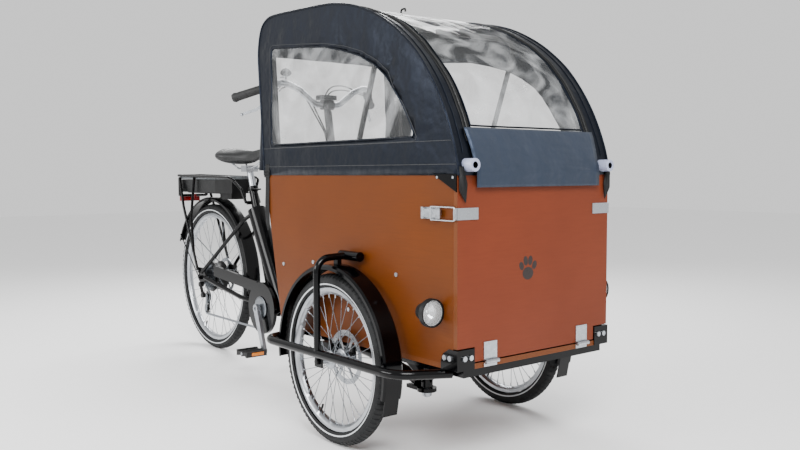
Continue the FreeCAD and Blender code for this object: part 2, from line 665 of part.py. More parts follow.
def rear_hardware():
    """Seat clamp, rear axle with nuts, bottom bracket cups and the rear brake caliper."""
    top = on_seat_tube(size("seat_top"))
    collar = fuse("seat_collar", ring("collar_band", "seat_tube_dia / 2 + 5", "seat_tube_dia / 2 + 0.05", 18,
                                      top - SEAT_WAY * 20, SEAT_WAY),
                  rod("collar_lever", 4, 46, top - SEAT_WAY * 11 + V(25, -24, 0), Y_AXIS))
    reach = size("dropout_inside") / 2 + size("dropout_sheet") + 14
    axle = rod("rear_axle_bar", "axle_dia / 2", 2 * reach, REAR_CENTRE - V(0, reach, 0), Y_AXIS)
    nuts = [ring(f"rear_nut_{word}", 9, "axle_dia / 2", 9,
                 REAR_CENTRE + V(0, side * (reach - 14), 0), Y_AXIS * side) for side, word in SIDES]
    cups = [ring(f"bracket_cup_{word}", "bracket_dia / 2 - 1", "8 + shaft_gap", 7,
                 BRACKET + V(0, side * size("bracket_width") / 2, 0), Y_AXIS * side) for side, word in SIDES]
    body = block("rear_caliper_body", 46, 18, 34, REAR_CENTRE + V(44, 40, 22))
    arm = block("rear_caliper_arm", 24, 20, 14, REAR_CENTRE + V(56, 52, 9.3))
    slot = block("rear_caliper_slot", 48, 4, 60, REAR_CENTRE + V(34, 49, -4))
    caliper = cut("rear_caliper", fuse("rear_caliper_whole", body, arm), slot)
    return group("rear_hardware", collar, axle, *nuts, *cups, caliper)


def fender_section(crown, width):
    """A shallow channel, open towards the tyre."""
    half = f"{width} / 2"
    return ((crown, f"0 - {half}"), (f"{crown} + 3 + fender_sheet", f"6 - {half}"),
            (f"{crown} + 3 + fender_sheet", f"{half} - 6"), (crown, half), (f"{crown} - 9", half),
            (f"{crown} - 9", f"{half} - fender_sheet"), (f"{crown} - 1", f"{half} - fender_sheet"),
            (f"{crown} + 3", f"{half} - 7"), (f"{crown} + 3", f"7 - {half}"),
            (f"{crown} - 1", f"fender_sheet - {half}"), (f"{crown} - 9", f"fender_sheet - {half}"),
            (f"{crown} - 9", f"0 - {half}"))


def fender(name, crown, width, centre, start, end):
    """A channel bent round the wheel from start to end degrees; 0 is forward, 90 is up."""
    body = turned(name, fender_section(crown, width), centre, Z_AXIS, angle=end - start)
    standing = TURN(X_AXIS, -90)
    body.Placement = FreeCAD.Placement(centre, TURN(Y_AXIS, -end).multiply(standing))
    return body


def rear_fender():
    """The rear mudguard and its two wire stays."""
    guard = fender("rear_mudguard", "rear_tyre_od / 2 + rear_fender_gap", "rear_fender_width",
                   REAR_CENTRE, -8, 156)
    pieces = [guard]
    for side, word in SIDES:
        y = side * (size("rear_fender_width") / 2 + 2.8)
        foot = REAR_CENTRE + V(-16, side * (size("dropout_inside") / 2 + size("dropout_sheet") + 4.3), 2)
        head = polar(REAR_CENTRE + V(0, y, 0), REAR_R + size("rear_fender_gap") - 2, 150)
        pieces.append(pipe(f"rear_stay_{word}", 2.5, [foot, head], 5))
    return group("rear_fender", *pieces)


# ---------------------------------------------------------------- saddle, carrier, battery

SADDLE_Z = 815


def seat_post():
    """Post, rail clamp and the two saddle rails."""
    top = on_seat_tube(SADDLE_Z - 12)
    post = rod("seat_post_bar", "post_dia / 2", 300, top - SEAT_WAY * 300, SEAT_WAY)
    clamp = block("rail_clamp", 44, 56, 26, top + V(-24, -28, -6))
    clamp = cut("rail_clamp_bored", clamp, rod("clamp_bore", "post_dia / 2", 300, top - SEAT_WAY * 300, SEAT_WAY))
    rails = []
    for side, word in SIDES:
        points = [top + V(112, side * 8, 34), top + V(80, side * 20, 16), top + V(40, side * 22, 8),
                  top + V(-60, side * 22, 8), top + V(-100, side * 34, 34)]
        rails.append(pipe(f"saddle_rail_{word}", 3.5, points, 30))
    bored = cut("rail_clamp_done", clamp, *[pipe(f"rail_seat_{word}", 3.5,
                [top + V(40, side * 22, 8), top + V(-60, side * 22, 8)], 30) for side, word in SIDES])
    return group("seat_post", post, bored, *rails)


def saddle():
    """A wide padded saddle: round tail, narrow nose, lofted from oval sections."""
    nose = on_seat_tube(SADDLE_Z).x + 122
    stations = ((0, 20, 34, 5), (40, 34, 44, 0), (110, 60, 52, -3), (170, 150, 58, -1), (215, 205, 62, 4),
                (250, 190, 60, 9), (272, 120, 40, 12))
    wires = []
    for back, width, deep, rise in stations:
        middle = V(nose - back, 0, 868 + rise - deep / 2 + 20)
        oval = Part.Ellipse(V(0, 0, 0), width / 2, deep / 2) if width > deep else Part.Ellipse(V(0, 0, 0), deep / 2, width / 2)
        edge = oval.toShape()
        edge.rotate(V(0, 0, 0), Z_AXIS, 0 if width > deep else 90)
        edge.rotate(V(0, 0, 0), X_AXIS, 90)
        edge.rotate(V(0, 0, 0), Z_AXIS, 90)
        edge.translate(middle)
        wires.append(Part.Wire([edge]))
    return shaped("saddle", Part.makeLoft(wires, True, False))


def carrier():
    """The welded carrier: a loop of tube with four legs and a strut to the seat tube."""
    z = size("deck_height") + size("deck_thick") / 2
    y = size("deck_half_width") + size("carrier_tube") / 2 + 0.3
    rear = -size("carrier_rear")
    front = -size("carrier_front")
    loop = [at(-1124, -31.2, 668), at(front + 30, -34, z - 50), at(front, -y, z), at(rear, -y, z + 10),
            at(rear, y, z + 10), at(front, y, z), at(front + 30, 34, z - 50), at(-1124, 31.2, 668)]
    tubes = [("carrier_tube", loop, 42)]
    foot_y = size("dropout_inside") / 2 + size("dropout_sheet") + 6.6
    for side, word in SIDES:
        foot = REAR_CENTRE + V(-20, side * foot_y, 34)
        tubes.append(("carrier_tube", [at(-1700, side * y, z), at(-1640, side * (y + 10), 640), foot], 60))
        tubes.append(("carrier_tube", [at(-1545, side * y, z), at(-1560, side * (y + 10), 600),
                                       at(-1534, side * (foot_y - 1), 440)], 60))
    tangs = [block(f"carrier_tang_{word}", 16, 5, 22, REAR_CENTRE + V(-26, side * (foot_y - 3.9) - 2.5, 20))
             for side, word in SIDES]
    cross = rod("carrier_cross", 6, 2 * y, at(-1700, -y, z - 21 - size("battery_height") - 4), Y_AXIS)
    legs_link = [block(f"carrier_link_{word}", 12, 10, size("battery_height") + 24,
                       at(-1706, side * y - 5, z - 27 - size("battery_height"))) for side, word in SIDES]
    return hollow("carrier_frame", tubes, tangs + [cross] + legs_link, wall="1.5")


def deck():
    """The flat top plate of the carrier, with two slots along it."""
    length = "carrier_rear - carrier_front - 58"
    corner = at(-size("carrier_rear") + 40, -size("deck_half_width"), size("deck_height"))
    top = block("deck_plate", length, "2 * deck_half_width", "deck_thick", corner)
    slots = [block(f"deck_slot_{n}", 300, 12, 6, corner + V(90, size("deck_half_width") - 6 + 34 * n,
                                                          size("deck_thick") - 5)) for n in (-1, 1)]
    return cut("carrier_deck", top, *slots)


def battery():
    """The battery pack, which slides out to the rear, with a grip lip at its back."""
    top = size("deck_height") - size("battery_gap")
    low = top - size("battery_height")
    rear = at(-size("carrier_rear") + 12, -size("battery_half_width"), low)
    pack = block("battery_pack", "battery_length", "2 * battery_half_width", "battery_height", rear)
    lip = block("battery_lip", 16, 70, 14, rear + V(-14, size("battery_half_width") - 35, 36))
    return fuse("battery", pack, lip)


def battery_dock():
    """The fixed front end of the battery: plug block, controller and the rail below."""
    top = size("deck_height") - size("battery_gap")
    low = top - size("battery_height")
    front = -size("carrier_rear") + 12 + size("battery_length") + 1
    half = size("battery_half_width")
    block_front = block("dock_block", "carrier_rear - carrier_front - battery_length - 22", "2 * battery_half_width",
                        "battery_height + battery_gap", at(front, -half, low))
    rail = block("dock_rail", "battery_length - 20", 40, 4.6, at(front - size("battery_length") + 20, -20, low - 5))
    step = block("dock_step", 20, 40, 6, at(front, -20, low - 5))
    controller = block("controller", 96, 70, 26, at(front + 10, -35, low - 26))
    return fuse("battery_dock", block_front, rail, step, controller)


def tail_light():
    """The rear lamp under the battery, with its bracket."""
    z = size("deck_height") - size("battery_gap") - size("battery_height") - 44
    lamp = block("lamp_body", 26, 90, 32, at(-1752, -45, z))
    bracket = block("lamp_bracket", 38, 20, 6, at(-1726, -10, z + 9.5))
    upright = block("lamp_upright", 6, 20, 24, at(-1694, -10, z + 9.5))
    return fuse("tail_light", lamp, bracket, upright)


# ---------------------------------------------------------------- front frame

def square_tube(name, length, width, corner):
    """A closed length of square tube, hollow inside."""
    out = block(name + "_out", length, width, "rail", corner)
    wall = size("rail_wall")
    inner = block(name + "_in", f"{length} - 2 * rail_wall", f"{width} - 2 * rail_wall", "rail - 2 * rail_wall",
                  corner + V(wall, wall, wall))
    return cut(name, out, inner)


def front_frame():
    """The rail frame under the box, the steering head with its gussets and the axle arms."""
    low = size("box_floor") - size("rail")
    out = size("rail_offset") + size("rail") / 2
    front = size("box_front") - 3
    rear = -size("box_rear_bottom")
    parts = []
    for side, word in SIDES:
        y = side * size("rail_offset") - size("rail") / 2
        parts.append(square_tube(f"side_rail_{word}", "box_front - 3 + box_rear_bottom", "rail", at(rear, y, low)))
    parts.append(square_tube("front_rail", "rail", "2 * rail_offset + rail", at(front - size("rail"), -out, low)))
    parts.append(square_tube("rear_rail", "rail", "2 * rail_offset + rail", at(rear, -out, low)))
    parts.append(square_tube("centre_rail", "box_front + post_foot_back + 7", "rail",
                             at(-size("post_foot_back") - 12, -size("rail") / 2, low)))
    reach = HUB_INSIDE - size("seat_gap")
    parts.append(square_tube("axle_beam", 40, f"2 * {reach}", at(-20, -reach, low)))
    for side, word in SIDES:
        inner = side * reach - (5 if side > 0 else 0)
        cheek = block(f"axle_cheek_{word}", 40, 5, 52, at(-20, inner, FRONT_R - 16))
        parts.append(cheek)
    head = rod("head_tube", "head_dia / 2", "box_floor - 2 - head_bottom", at(0, 0, size("head_bottom")))
    radius = size("head_dia") / 2
    gusset = ((radius - 2, size("head_bottom") + 14), (radius - 2, low + 2), ("150", low + 2), ("130", low - 14))
    cross = ((f"0 - {radius - 2}", size("head_bottom") + 14), (f"0 - {radius - 2}", low + 2), ("0 - 150", low + 2),
             ("0 - 130", low - 14))
    fore = plate("fore_gusset", gusset, 6, at(0, 3, 0))
    wings = []
    for points, word in ((gusset, "left"), (cross, "right")):
        wing = plate(f"{word}_gusset", points, 6, at(0, 0, 0), role="YZ_Plane")
        wing.Placement.Base = at(-3, 0, 0)
        wings.append(wing)
    whole = fuse("front_frame_whole", *parts, head, fore, *wings)
    bore = rod("head_bore", "head_dia / 2 - head_wall", "box_floor - rail - 2 - head_bottom",
               at(0, 0, size("head_bottom") - 1))
    axle_hole = rod("axle_hole", "axle_dia / 2", 800, at(0, -400, FRONT_R), Y_AXIS)
    return cut("front_frame", whole, bore, axle_hole)


def front_hardware():
    """Steering bushes, front axles with their nuts, and the two front brake calipers."""
    bushes = []
    for word, z in (("lower", size("head_bottom")), ("upper", size("box_floor") - size("rail") - 36)):
        bushes.append(ring(f"{word}_bush", "head_dia / 2 - head_wall", "pin_dia / 2 + shaft_gap", 30, at(0, 0, z + 0.5)))
    start = HUB_INSIDE - 14
    end = HUB_OUTSIDE + 14
    axle = rod("right_axle", "axle_dia / 2", end - start, at(0, -end, FRONT_R), Y_AXIS)
    outer = ring("right_outer_nut", 8.5, "axle_dia / 2", 7, at(0, -HUB_OUTSIDE - 13.4, FRONT_R), Y_AXIS)
    inner = ring("right_inner_nut", 8.5, "axle_dia / 2", 7, at(0, -HUB_INSIDE + 5.6, FRONT_R), Y_AXIS)
    body = block("caliper_body", 56, 38, 44, at(-116, -FRONT_Y + 22, FRONT_R - 12))
    slot = block("caliper_slot", 40, 4, 64, at(-84, -FRONT_Y + 34, FRONT_R - 20))
    arm = block("caliper_arm", 56, 5, 16, at(-76, -HUB_INSIDE + 0.3, FRONT_R + 6))
    caliper = cut("right_caliper", fuse("caliper_whole", body, arm), slot)
    pieces = [axle, outer, inner, caliper]
    copies = [mirror(f"left_{n}", piece) for n, piece in enumerate(pieces)]
    return group("front_hardware", *bushes, *pieces, *copies)


def wheel_guards():
    """The bent bumper tube outside each front wheel, with the arch over the mudguard."""
    low = size("guard_height")
    out = -size("guard_offset")
    rail = -size("rail_offset") - size("rail") / 2
    bumper = [at(-302, rail, low), at(-302, out, low), at(372, out, low + 5), at(423.4, rail - 4.4, low - 0.5)]
    arch = [at(13, out, low), at(13, out, 548), at(13, -FRONT_Y + 32, 552)]
    tubes = [("guard_dia", bumper, 70), ("arch_dia", arch, 42)]
    top = rod("arch_barrel", 14, 95, at(-15, -FRONT_Y + 32, 552), X_AXIS)
    bolt = rod("arch_bolt", 6, FRONT_Y - 32 - size("box_half_width"), at(32, -FRONT_Y + 32, 552), Y_AXIS)
    tab = block("fender_tab", 20, 14, 20, at(3, -FRONT_Y - 7, 2 * FRONT_R + size("fender_gap") + 5))
    cheek = block("outer_cheek", 36, 6, 46, at(-18, -HUB_OUTSIDE - 6 - size("seat_gap"), FRONT_R - 16))
    whole = hollow("wheel_guard_tubes", tubes, [top, bolt, tab, cheek])
    hole = rod("outer_cheek_hole", "axle_dia / 2", 40, at(0, -HUB_OUTSIDE - 20, FRONT_R), Y_AXIS)
    return both("wheel_guards", cut("right_wheel_guard", whole, hole))


def front_fenders():
    """The mudguards over the front wheels, each with a rubber flap at its front end."""
    centre = at(0, -FRONT_Y, FRONT_R)
    guard = fender("front_mudguard", "front_tyre_od / 2 + fender_gap", "fender_width", centre, -14, 187)
    end = polar(centre, FRONT_R + size("fender_gap") - 0.3, -12)
    flap = block("mud_flap", 3, "fender_width - 16", 56, end)
    flap.Placement = FreeCAD.Placement(end - V(0, size("fender_width") / 2 - 8, 0), TURN(Y_AXIS, 12)).multiply(
        FreeCAD.Placement(V(0, 0, -56), TURN()))
    return both("front_fenders", group("right_fender", guard, flap))


# ---------------------------------------------------------------- plywood box

BOX_TILT = (size("box_rear_top") - size("box_rear_bottom")) / (size("box_top") - size("box_floor"))


def box_rear(z):
    """Outside of the rear panel at a height; it leans back."""
    return -size("box_rear_bottom") - (z - size("box_floor")) * BOX_TILT


def floor_panel():
    """The floor carries the door's hinges, and the walls stand in a rebate round it."""
    half = size("box_half_width")
    ply = size("ply")
    rear = -size("box_rear_bottom")
    level = size("box_floor") + ply - size("floor_rebate")
    board = block("floor_board", "box_front + box_rear_bottom", "2 * box_half_width", "ply",
                  at(rear, -half, size("box_floor")))
    foot = box_rear(level) + ply / math.cos(math.atan(BOX_TILT)) + 0.1 - rear
    edges = [block("floor_edge_right", "box_front + box_rear_bottom", "ply", 5, at(rear, -half, level)),
             block("floor_edge_left", "box_front + box_rear_bottom", "ply", 5, at(rear, half - ply, level)),
             block("floor_edge_front", "ply + 1", "2 * box_half_width", 5, at(size("box_front") - ply - 1, -half, level)),
             block("floor_edge_rear", foot, "2 * box_half_width", 5, at(rear, -half, level))]
    return cut("floor_panel", board, *edges)


def side_panels():
    """Two upright sides; their rear edges lean back with the rear panel."""
    floor_top = size("box_floor") + size("ply") - size("floor_rebate")
    foot = repr((size("ply") - size("floor_rebate")) * BOX_TILT)
    points = (("0 - box_rear_bottom - " + foot, floor_top), ("box_front - ply - 1", floor_top),
              ("box_front - ply - 1", "box_top"), ("0 - box_rear_top", "box_top"))
    side = plate("right_side", points, "ply", at(0, -size("box_half_width") + size("ply"), 0))
    return both("side_panels", side)


def rear_panel():
    """The sloping back of the box, between the sides."""
    floor_top = size("box_floor") + size("ply") - size("floor_rebate")
    thick = size("ply") / math.cos(math.atan(BOX_TILT))
    points = ((box_rear(floor_top), floor_top), (box_rear(floor_top) + thick, floor_top),
              (box_rear(size("box_top")) + thick, "box_top"), (box_rear(size("box_top")), "box_top"))
    return plate("rear_panel", points, "2 * box_half_width - 2 * ply",
                 at(0, size("box_half_width") - size("ply"), 0))


def door_panel():
    """The front door, hinged at its lower edge and notched round the corner guards."""
    half = size("box_half_width")
    low = size("box_floor") + size("ply") + size("door_gap")
    notch = low + 39
    inner = half - 60
    points = ((-inner, low), (inner, low), (inner, notch), (half, notch), (half, "box_top - 2"),
              (-half, "box_top - 2"), (-half, notch), (-inner, notch))
    return plate("door_panel", points, "ply", at(size("box_front") - size("ply"), 0, 0), role="YZ_Plane")


HINGE = at(size("box_front") + size("door_hinge_forward"), 0, size("box_floor") + size("ply"))
HINGE_SPAN = (size("box_half_width") - 138, size("box_half_width") - 91)
LATCH_Z = 687
LATCH_X = 345


def knuckle(name, start, length):
    return ring(name, 5.5, "2.5 + shaft_gap", length, HINGE + V(0, start, 0), Y_AXIS)


def door_fittings():
    """Upper hinge leaves and the two catch strips that wrap the door's edges."""
    front = size("box_front")
    first, last = HINGE_SPAN
    leaf = block("upper_leaf", 2.5, last - first, 46, at(front, -last, HINGE.z + 5))
    pieces = [leaf]
    for n, y in enumerate((-last, -first - 12)):
        pieces.append(block(f"upper_lug_{n}", 5, 12, 5, at(front + 0.5, y, HINGE.z + 0.8)))
        pieces.append(rod(f"upper_knuckle_{n}", 5.5, 12, HINGE + V(0, y, 0), Y_AXIS))
    bore = rod("upper_bore", "2.5 + shaft_gap", 60, HINGE + V(0, -last - 5, 0), Y_AXIS)
    hinge = cut("right_upper_hinge", fuse("upper_hinge_whole", *pieces), bore)
    half = size("box_half_width")
    face = block("catch_face", 2, 72, 30, at(front, -half - 2, LATCH_Z - 15))
    edge = block("catch_edge", "ply + 1", 2, 30, at(front - size("ply") + 1, -half - 2, LATCH_Z - 15))
    lip = block("catch_lip", 3, 2, 24, at(front - 11, -half - 3.6, LATCH_Z - 12))
    catch = fuse("right_catch", face, edge, lip)
    pieces = [hinge, catch]
    copies = [mirror(f"door_copy_{n}", piece) for n, piece in enumerate(pieces)]
    return group("door_fittings", *pieces, *copies)


def box_hardware():
    """Fixed hinge leaves with their pins, and the two latch bases."""
    front = size("box_front")
    first, last = HINGE_SPAN
    middle = last - first - 25
    leaf = block("lower_leaf", 2.5, last - first, 12, at(front, -last, size("box_floor") + 1))
    lug = block("lower_lug", 5, middle, 6, at(front + 0.5, -first - 12.5 - middle, HINGE.z - 6))
    barrel = rod("lower_knuckle", 5.5, middle, HINGE + V(0, -first - 12.5 - middle, 0), Y_AXIS)
    bore = rod("lower_bore", 2.5, 60, HINGE + V(0, -last - 5, 0), Y_AXIS)
    hinge = cut("right_lower_hinge", fuse("lower_hinge_whole", leaf, lug, barrel), bore)
    pin = rod("hinge_pin", 2.5, last - first + 4, HINGE + V(0, -last - 2, 0), Y_AXIS)
    half = size("box_half_width")
    base = block("latch_plate", 74, 3, 30, at(LATCH_X - 16, -half - 3, LATCH_Z - 15))
    ears = [block(f"latch_ear_{n}", 9, 12, 2.5, at(LATCH_X - 4.5, -half - 12, z))
            for n, z in enumerate((LATCH_Z - 15, LATCH_Z + 12.5))]
    post = rod("latch_pin", 2, 30, at(LATCH_X, -half - 8, LATCH_Z - 15))
    latch = fuse("right_latch_base", base, *ears, post)
    pieces = [hinge, pin, latch]
    copies = [mirror(f"fixed_copy_{n}", piece) for n, piece in enumerate(pieces)]
    return group("box_hardware", *pieces, *copies)


def latches():
    """The over-centre levers and their wire loops, one pair on each side of the box."""
    half = size("box_half_width")
    y = -half - 8
    blade = block("latch_blade", 66, 2.5, 22, at(LATCH_X + 2, y - 1.25, LATCH_Z - 11))
    barrel = rod("latch_barrel", 4, 24, at(LATCH_X, y, LATCH_Z - 12))
    eye = rod("latch_eye", 4, 24, at(LATCH_X + 30, y, LATCH_Z - 12))
    tip = block("latch_tip", 10, 5, 22, at(LATCH_X + 60, y - 5, LATCH_Z - 11))
    whole = fuse("latch_lever_whole", blade, barrel, eye, tip)
    bore = rod("latch_bore", "2 + shaft_gap", 40, at(LATCH_X, y, LATCH_Z - 20))
    eye_bore = rod("latch_eye_bore", "2 + shaft_gap", 40, at(LATCH_X + 30, y, LATCH_Z - 20))
    lever = cut("latch_lever_right", whole, bore, eye_bore)
    x0 = LATCH_X + 30
    x1 = size("box_front") - 3.5
    top = LATCH_Z + 17
    low = LATCH_Z - 17
    points = [at(x0, y, top), at(x1, y + 0.5, top), at(x1, y + 0.5, low), at(x0, y, low)]
    wire = pipe("loop_wire", 2, points, 5)
    pivot = rod("loop_pivot", 2, top - low, at(x0, y, low))
    loop = fuse("latch_loop_right", wire, pivot)
    return lever, mirror("latch_lever_left", lever), loop, mirror("latch_loop_left", loop)


def corner_protectors():
    """Black corner guards at the foot of the front, and small plates at the top corners."""
    half = size("box_half_width")
    front = size("box_front")
    low = size("box_floor")
    side = plate("guard_side", ((front - 60, low), (front + 3, low), (front + 3, low + 54), (front - 30, low + 54),
                                (front - 52, low + 40), (front - 60, low + 20)), 3, at(0, -half, 0))
    face = block("guard_face", 3, 60, 54, at(front, -half - 3, low))
    filler = block("guard_filler", size("ply") - 0.5, 58, 38.5, at(front - size("ply") + 0.5, -half, low + size("ply")))
    top = plate("top_plate", ((front - 92, 787), (front - 2, 787), (front - 2, 742)), 2.5, at(0, -half, 0))
    return both("corner_protectors", group("right_guards", fuse("corner_guard", side, face, filler), top))


def box_fasteners():
    """Round-headed screws and bolts on the sides and the corner guards."""
    half = size("box_half_width")
    front = size("box_front")
    places = ((-375, 494), (-197, 514), (221, 513), (-7, 389), (-11, 322))
    heads = [rod(f"screw_{n}", 6, 2.5, at(x, -half - 2.5, z), Y_AXIS) for n, (x, z) in enumerate(places)]
    for n, x in enumerate((front - 42, front - 22)):
        heads.append(rod(f"guard_bolt_{n}", 7, 5, at(x, -half - 8, 320), Y_AXIS))
    for n, y in enumerate((-half + 20, -half + 42)):
        heads.append(rod(f"face_bolt_{n}", 7, 5, at(front + 3, y, 320), X_AXIS))
    for n, x in enumerate((front - 74, front - 14)):
        heads.append(rod(f"rivet_{n}", 3.5, 1.5, at(x, -half - 4, 779), Y_AXIS))
    return both("box_fasteners", group("right_fasteners", *heads))


def lamps():
    """A headlamp on each side panel: a dished housing on a bracket, and its lens."""
    half = size("box_half_width")
    y = -half - 38
    z = 436
    shell = cone("lamp_shell", 20, 34, 34, at(372, y, z), X_AXIS)
    collar = rod("lamp_collar", 37, 14, at(405, y, z), X_AXIS)
    hollow_out = cone("lamp_hollow", 17, 31, 34.5, at(375, y, z), X_AXIS)
    mouth = rod("lamp_mouth", 33, 16, at(409, y, z), X_AXIS)
    foot = block("lamp_foot", 30, 22, 26, at(374, -half - 22, z - 13))
    housing = cut("right_lamp", fuse("lamp_whole", shell, collar, foot), hollow_out, mouth)
    lens = rod("lens_disc", 32.7, 5, at(411, y, z), X_AXIS)
    bulge = ball("lens_bulge", 60, at(364, y, z))
    keep = rod("lens_keep", 32.7, 20, at(411, y, z), X_AXIS)
    dome = doc.addObject("Part::Common", "lens_dome")
    dome.Base = bulge
    dome.Tool = keep
    return both("lamp_housings", housing), both("lamp_lenses", fuse("right_lens", lens, dome))


# ---------------------------------------------------------------- handlebar

POST_LEAN = math.radians(size("post_lean"))
POST_WAY = V(-math.sin(POST_LEAN), 0, math.cos(POST_LEAN))
POST_FOOT = at(-size("post_foot_back"), 0, size("box_floor") + 2.7)
CLAMP = POST_FOOT + POST_WAY * 760
BELL = at(-564, -168, 1107 + size("bar_dia") / 2)
GRIP_OUT = at(-700, -300, 1057)
GRIP_WAY = V(-0.710, -0.646, -0.280).normalize()
BAR_BEND = GRIP_OUT - GRIP_WAY * 190


def handlebar_post():
    """The upright behind the box, and the forged stem that clamps the bar."""
    out = rod("post_tube_out", "post_tube / 2", 735, POST_FOOT, POST_WAY)
    inner = rod("post_tube_in", "post_tube / 2 - tube_wall", 720, POST_FOOT + POST_WAY * 4, POST_WAY)
    foot = block("post_plate", 34, 60, 6, POST_FOOT + V(-14, -30, -2.7))
    upright = cut("post_upright", fuse("post_whole", out, foot), inner)
    quill = rod("stem_quill", "post_tube / 2 - 3", 24, POST_FOOT + POST_WAY * 735, POST_WAY)
    grip = rod("stem_clamp", 18, 46, CLAMP - V(0, 23, 0), Y_AXIS)
    bore = rod("stem_bore", "bar_dia / 2 + 0.05", 60, CLAMP - V(0, 30, 0), Y_AXIS)
    stem = cut("stem", fuse("stem_whole", quill, grip), bore)
    return group("handlebar_post", upright, stem)


def handlebar():
    """A swept-back bar: low at the stem, raised at the shoulders, grips angled down."""
    right = [CLAMP, CLAMP + V(0, -50, 0), at(-561, -115, 1086), BAR_BEND, GRIP_OUT]
    left = [V(p.x, -p.y, p.z) for p in right]
    points = list(reversed(left)) + right[1:]
    return hollow("handlebar", [("bar_dia", points, 45)])


def grips():
    """Rubber grips with a rounded outer end and a raised inner collar."""
    length = 114
    profile = (("bar_dia / 2 + 0.05", 0), ("grip_dia / 2 + 1", 0), ("grip_dia / 2 + 1", 5), ("grip_dia / 2 - 2", 9),
               ("grip_dia / 2 - 1", length - 14), ("grip_dia / 2 + 1", length - 5), ("grip_dia / 2 - 3", length + 4),
               (0, length + 4), (0, length + 0.1), ("bar_dia / 2 + 0.05", length + 0.1))
    body = turned("grip_body", profile, GRIP_OUT - GRIP_WAY * length, GRIP_WAY)
    return both("grips", body)


def lever_frame():
    """The brake lever's pivot, its swing axis and its blade's way, on the right side."""
    down = (V(0, 0, -1) - GRIP_WAY * V(0, 0, -1).dot(GRIP_WAY)).normalize()
    pivot = BAR_BEND + GRIP_WAY * 38 + down * 26
    return GRIP_WAY, down, pivot


def bar_controls():
    """Lever clamps with their pivots, the bell on the right and the display in the middle."""
    way, down, pivot = lever_frame()
    axis = way.cross(down)
    clamp_at = BAR_BEND + way * 28
    band = ring("lever_band", "bar_dia / 2 + 4", "bar_dia / 2", 16, clamp_at, way)
    arm = rod("lever_arm", 5, 16, clamp_at + way * 8 + down * 12, down)
    ears = [rod(f"lever_ear_{n}", 7, 3, pivot + axis * offset, axis) for n, offset in enumerate((-8.5, 5.5))]
    web = rod("lever_web", 7, 17, pivot - axis * 8.5, axis)
    gap = rod("lever_gap", 9, 11, pivot - axis * 5.5, axis)
    pin = rod("lever_pin", 2.5, 17, pivot - axis * 8.5, axis)
    body = cut("lever_body_open", fuse("lever_body", band, arm, web), gap, rod("band_bore", "bar_dia / 2 + 0.05", 60, clamp_at - way * 20, way))
    housing = fuse("right_lever_body", body, *ears, pin)
    stalk = rod("bell_stalk", 3, 14, BELL)
    base = cone("bell_base", 14, "bell_dia / 2 - 1", 6, BELL + V(0, 0, 14))
    dome = cut("bell_dome", ball("bell_out", "bell_dia / 2", BELL + V(0, 0, 20), 0, 90),
               ball("bell_in", "bell_dia / 2 - 1.5", BELL + V(0, 0, 20), 0, 90))
    bell = fuse("bell", stalk, base, dome)
    display = block("display", 40, 64, 16, CLAMP + V(-24, -32, 18.2))
    return group("bar_controls", housing, mirror("left_lever_body", housing), bell, display)


def bell_lever():
    """The small thumb lever under the bell."""
    arm = block("bell_arm", 34, 8, 3, BELL + V(-34, -4, 9))
    eye = rod("bell_eye", 6, 3, BELL + V(0, 0, 9))
    bore = rod("bell_eye_bore", "3 + shaft_gap", 5, BELL + V(0, 0, 8))
    return cut("bell_lever", fuse("bell_lever_whole", arm, eye), bore)


def twist_shifter():
    """A twist collar between the right grip and the lever clamp."""
    points = (("bar_dia / 2 + shaft_gap", 0), ("grip_dia / 2 + 2", 0), ("grip_dia / 2 + 2", 8),
              ("grip_dia / 2", 12), ("grip_dia / 2", 28), ("bar_dia / 2 + shaft_gap", 28))
    return turned("shift_collar", points, BAR_BEND + GRIP_WAY * 47, GRIP_WAY)


def brake_lever(name):
    """A flat forged lever blade that ends in a ball."""
    way, down, pivot = lever_frame()
    axis = way.cross(down)
    eye = rod("lever_eye", 6.5, 10, pivot - axis * 5, axis)
    edge = ((4, -4), (34, 14.5), (60, 26), (86, 33), (140, 34), (140, 42), (84, 42.5), (56, 36), (28, 25), (-4, 4.5))
    corners = [pivot + way * along + down * below - axis * 4 for along, below in edge]
    blade = shaped("lever_blade", Part.Face(Part.makePolygon(corners + corners[:1])).extrude(axis * 8))
    knob = ball("lever_knob", 6.5, pivot + way * 141 + down * 38)
    bore = rod("lever_eye_bore", "2.5 + shaft_gap", 20, pivot - axis * 10, axis)
    return cut(name, fuse("lever_solid", eye, blade, knob), bore)


def control_cables():
    """Four control cables: each arcs from its lever or shifter to the post and runs down it."""
    way, down, pivot = lever_frame()
    pieces = []
    for side, word in SIDES:
        for n in (0, 1):
            start = pivot - way * 15 - down * (8 * n) + V(-6 * n, 0, 0)
            start = V(start.x, side * abs(start.y), start.z)
            foot = POST_FOOT + V(-18.5, side * (3.2 + 5.8 * n), 0)
            top = 1104 + 18 * n
            points = [start, start + V(-24, -side * 22, 12), at(-628 - 14 * n, side * (124 + 8 * n), top),
                      at(-636 - 14 * n, side * (66 + 8 * n), top - 6),
                      at(-618 - 22 * n, side * (24 + 12 * n), top - 60),
                      foot + POST_WAY * 655, foot + POST_WAY * 600, foot + POST_WAY * 545,
                      foot + POST_WAY * 490 + V(0, side * 0.4, 0), foot + POST_WAY * 435,
                      foot + POST_WAY * 380 + V(0, side * 0.4, 0), foot + POST_WAY * 325,
                      foot + POST_WAY * 270 + V(0, side * 0.4, 0), foot + POST_WAY * 215,
                      foot + POST_WAY * 160 + V(0, side * 0.4, 0), foot + POST_WAY * 105]
            pieces.append(pipe(f"cable_{word}_{n}", "cable_dia / 2", points, 90))
    return group("control_cables", *pieces)


# ---------------------------------------------------------------- canopy

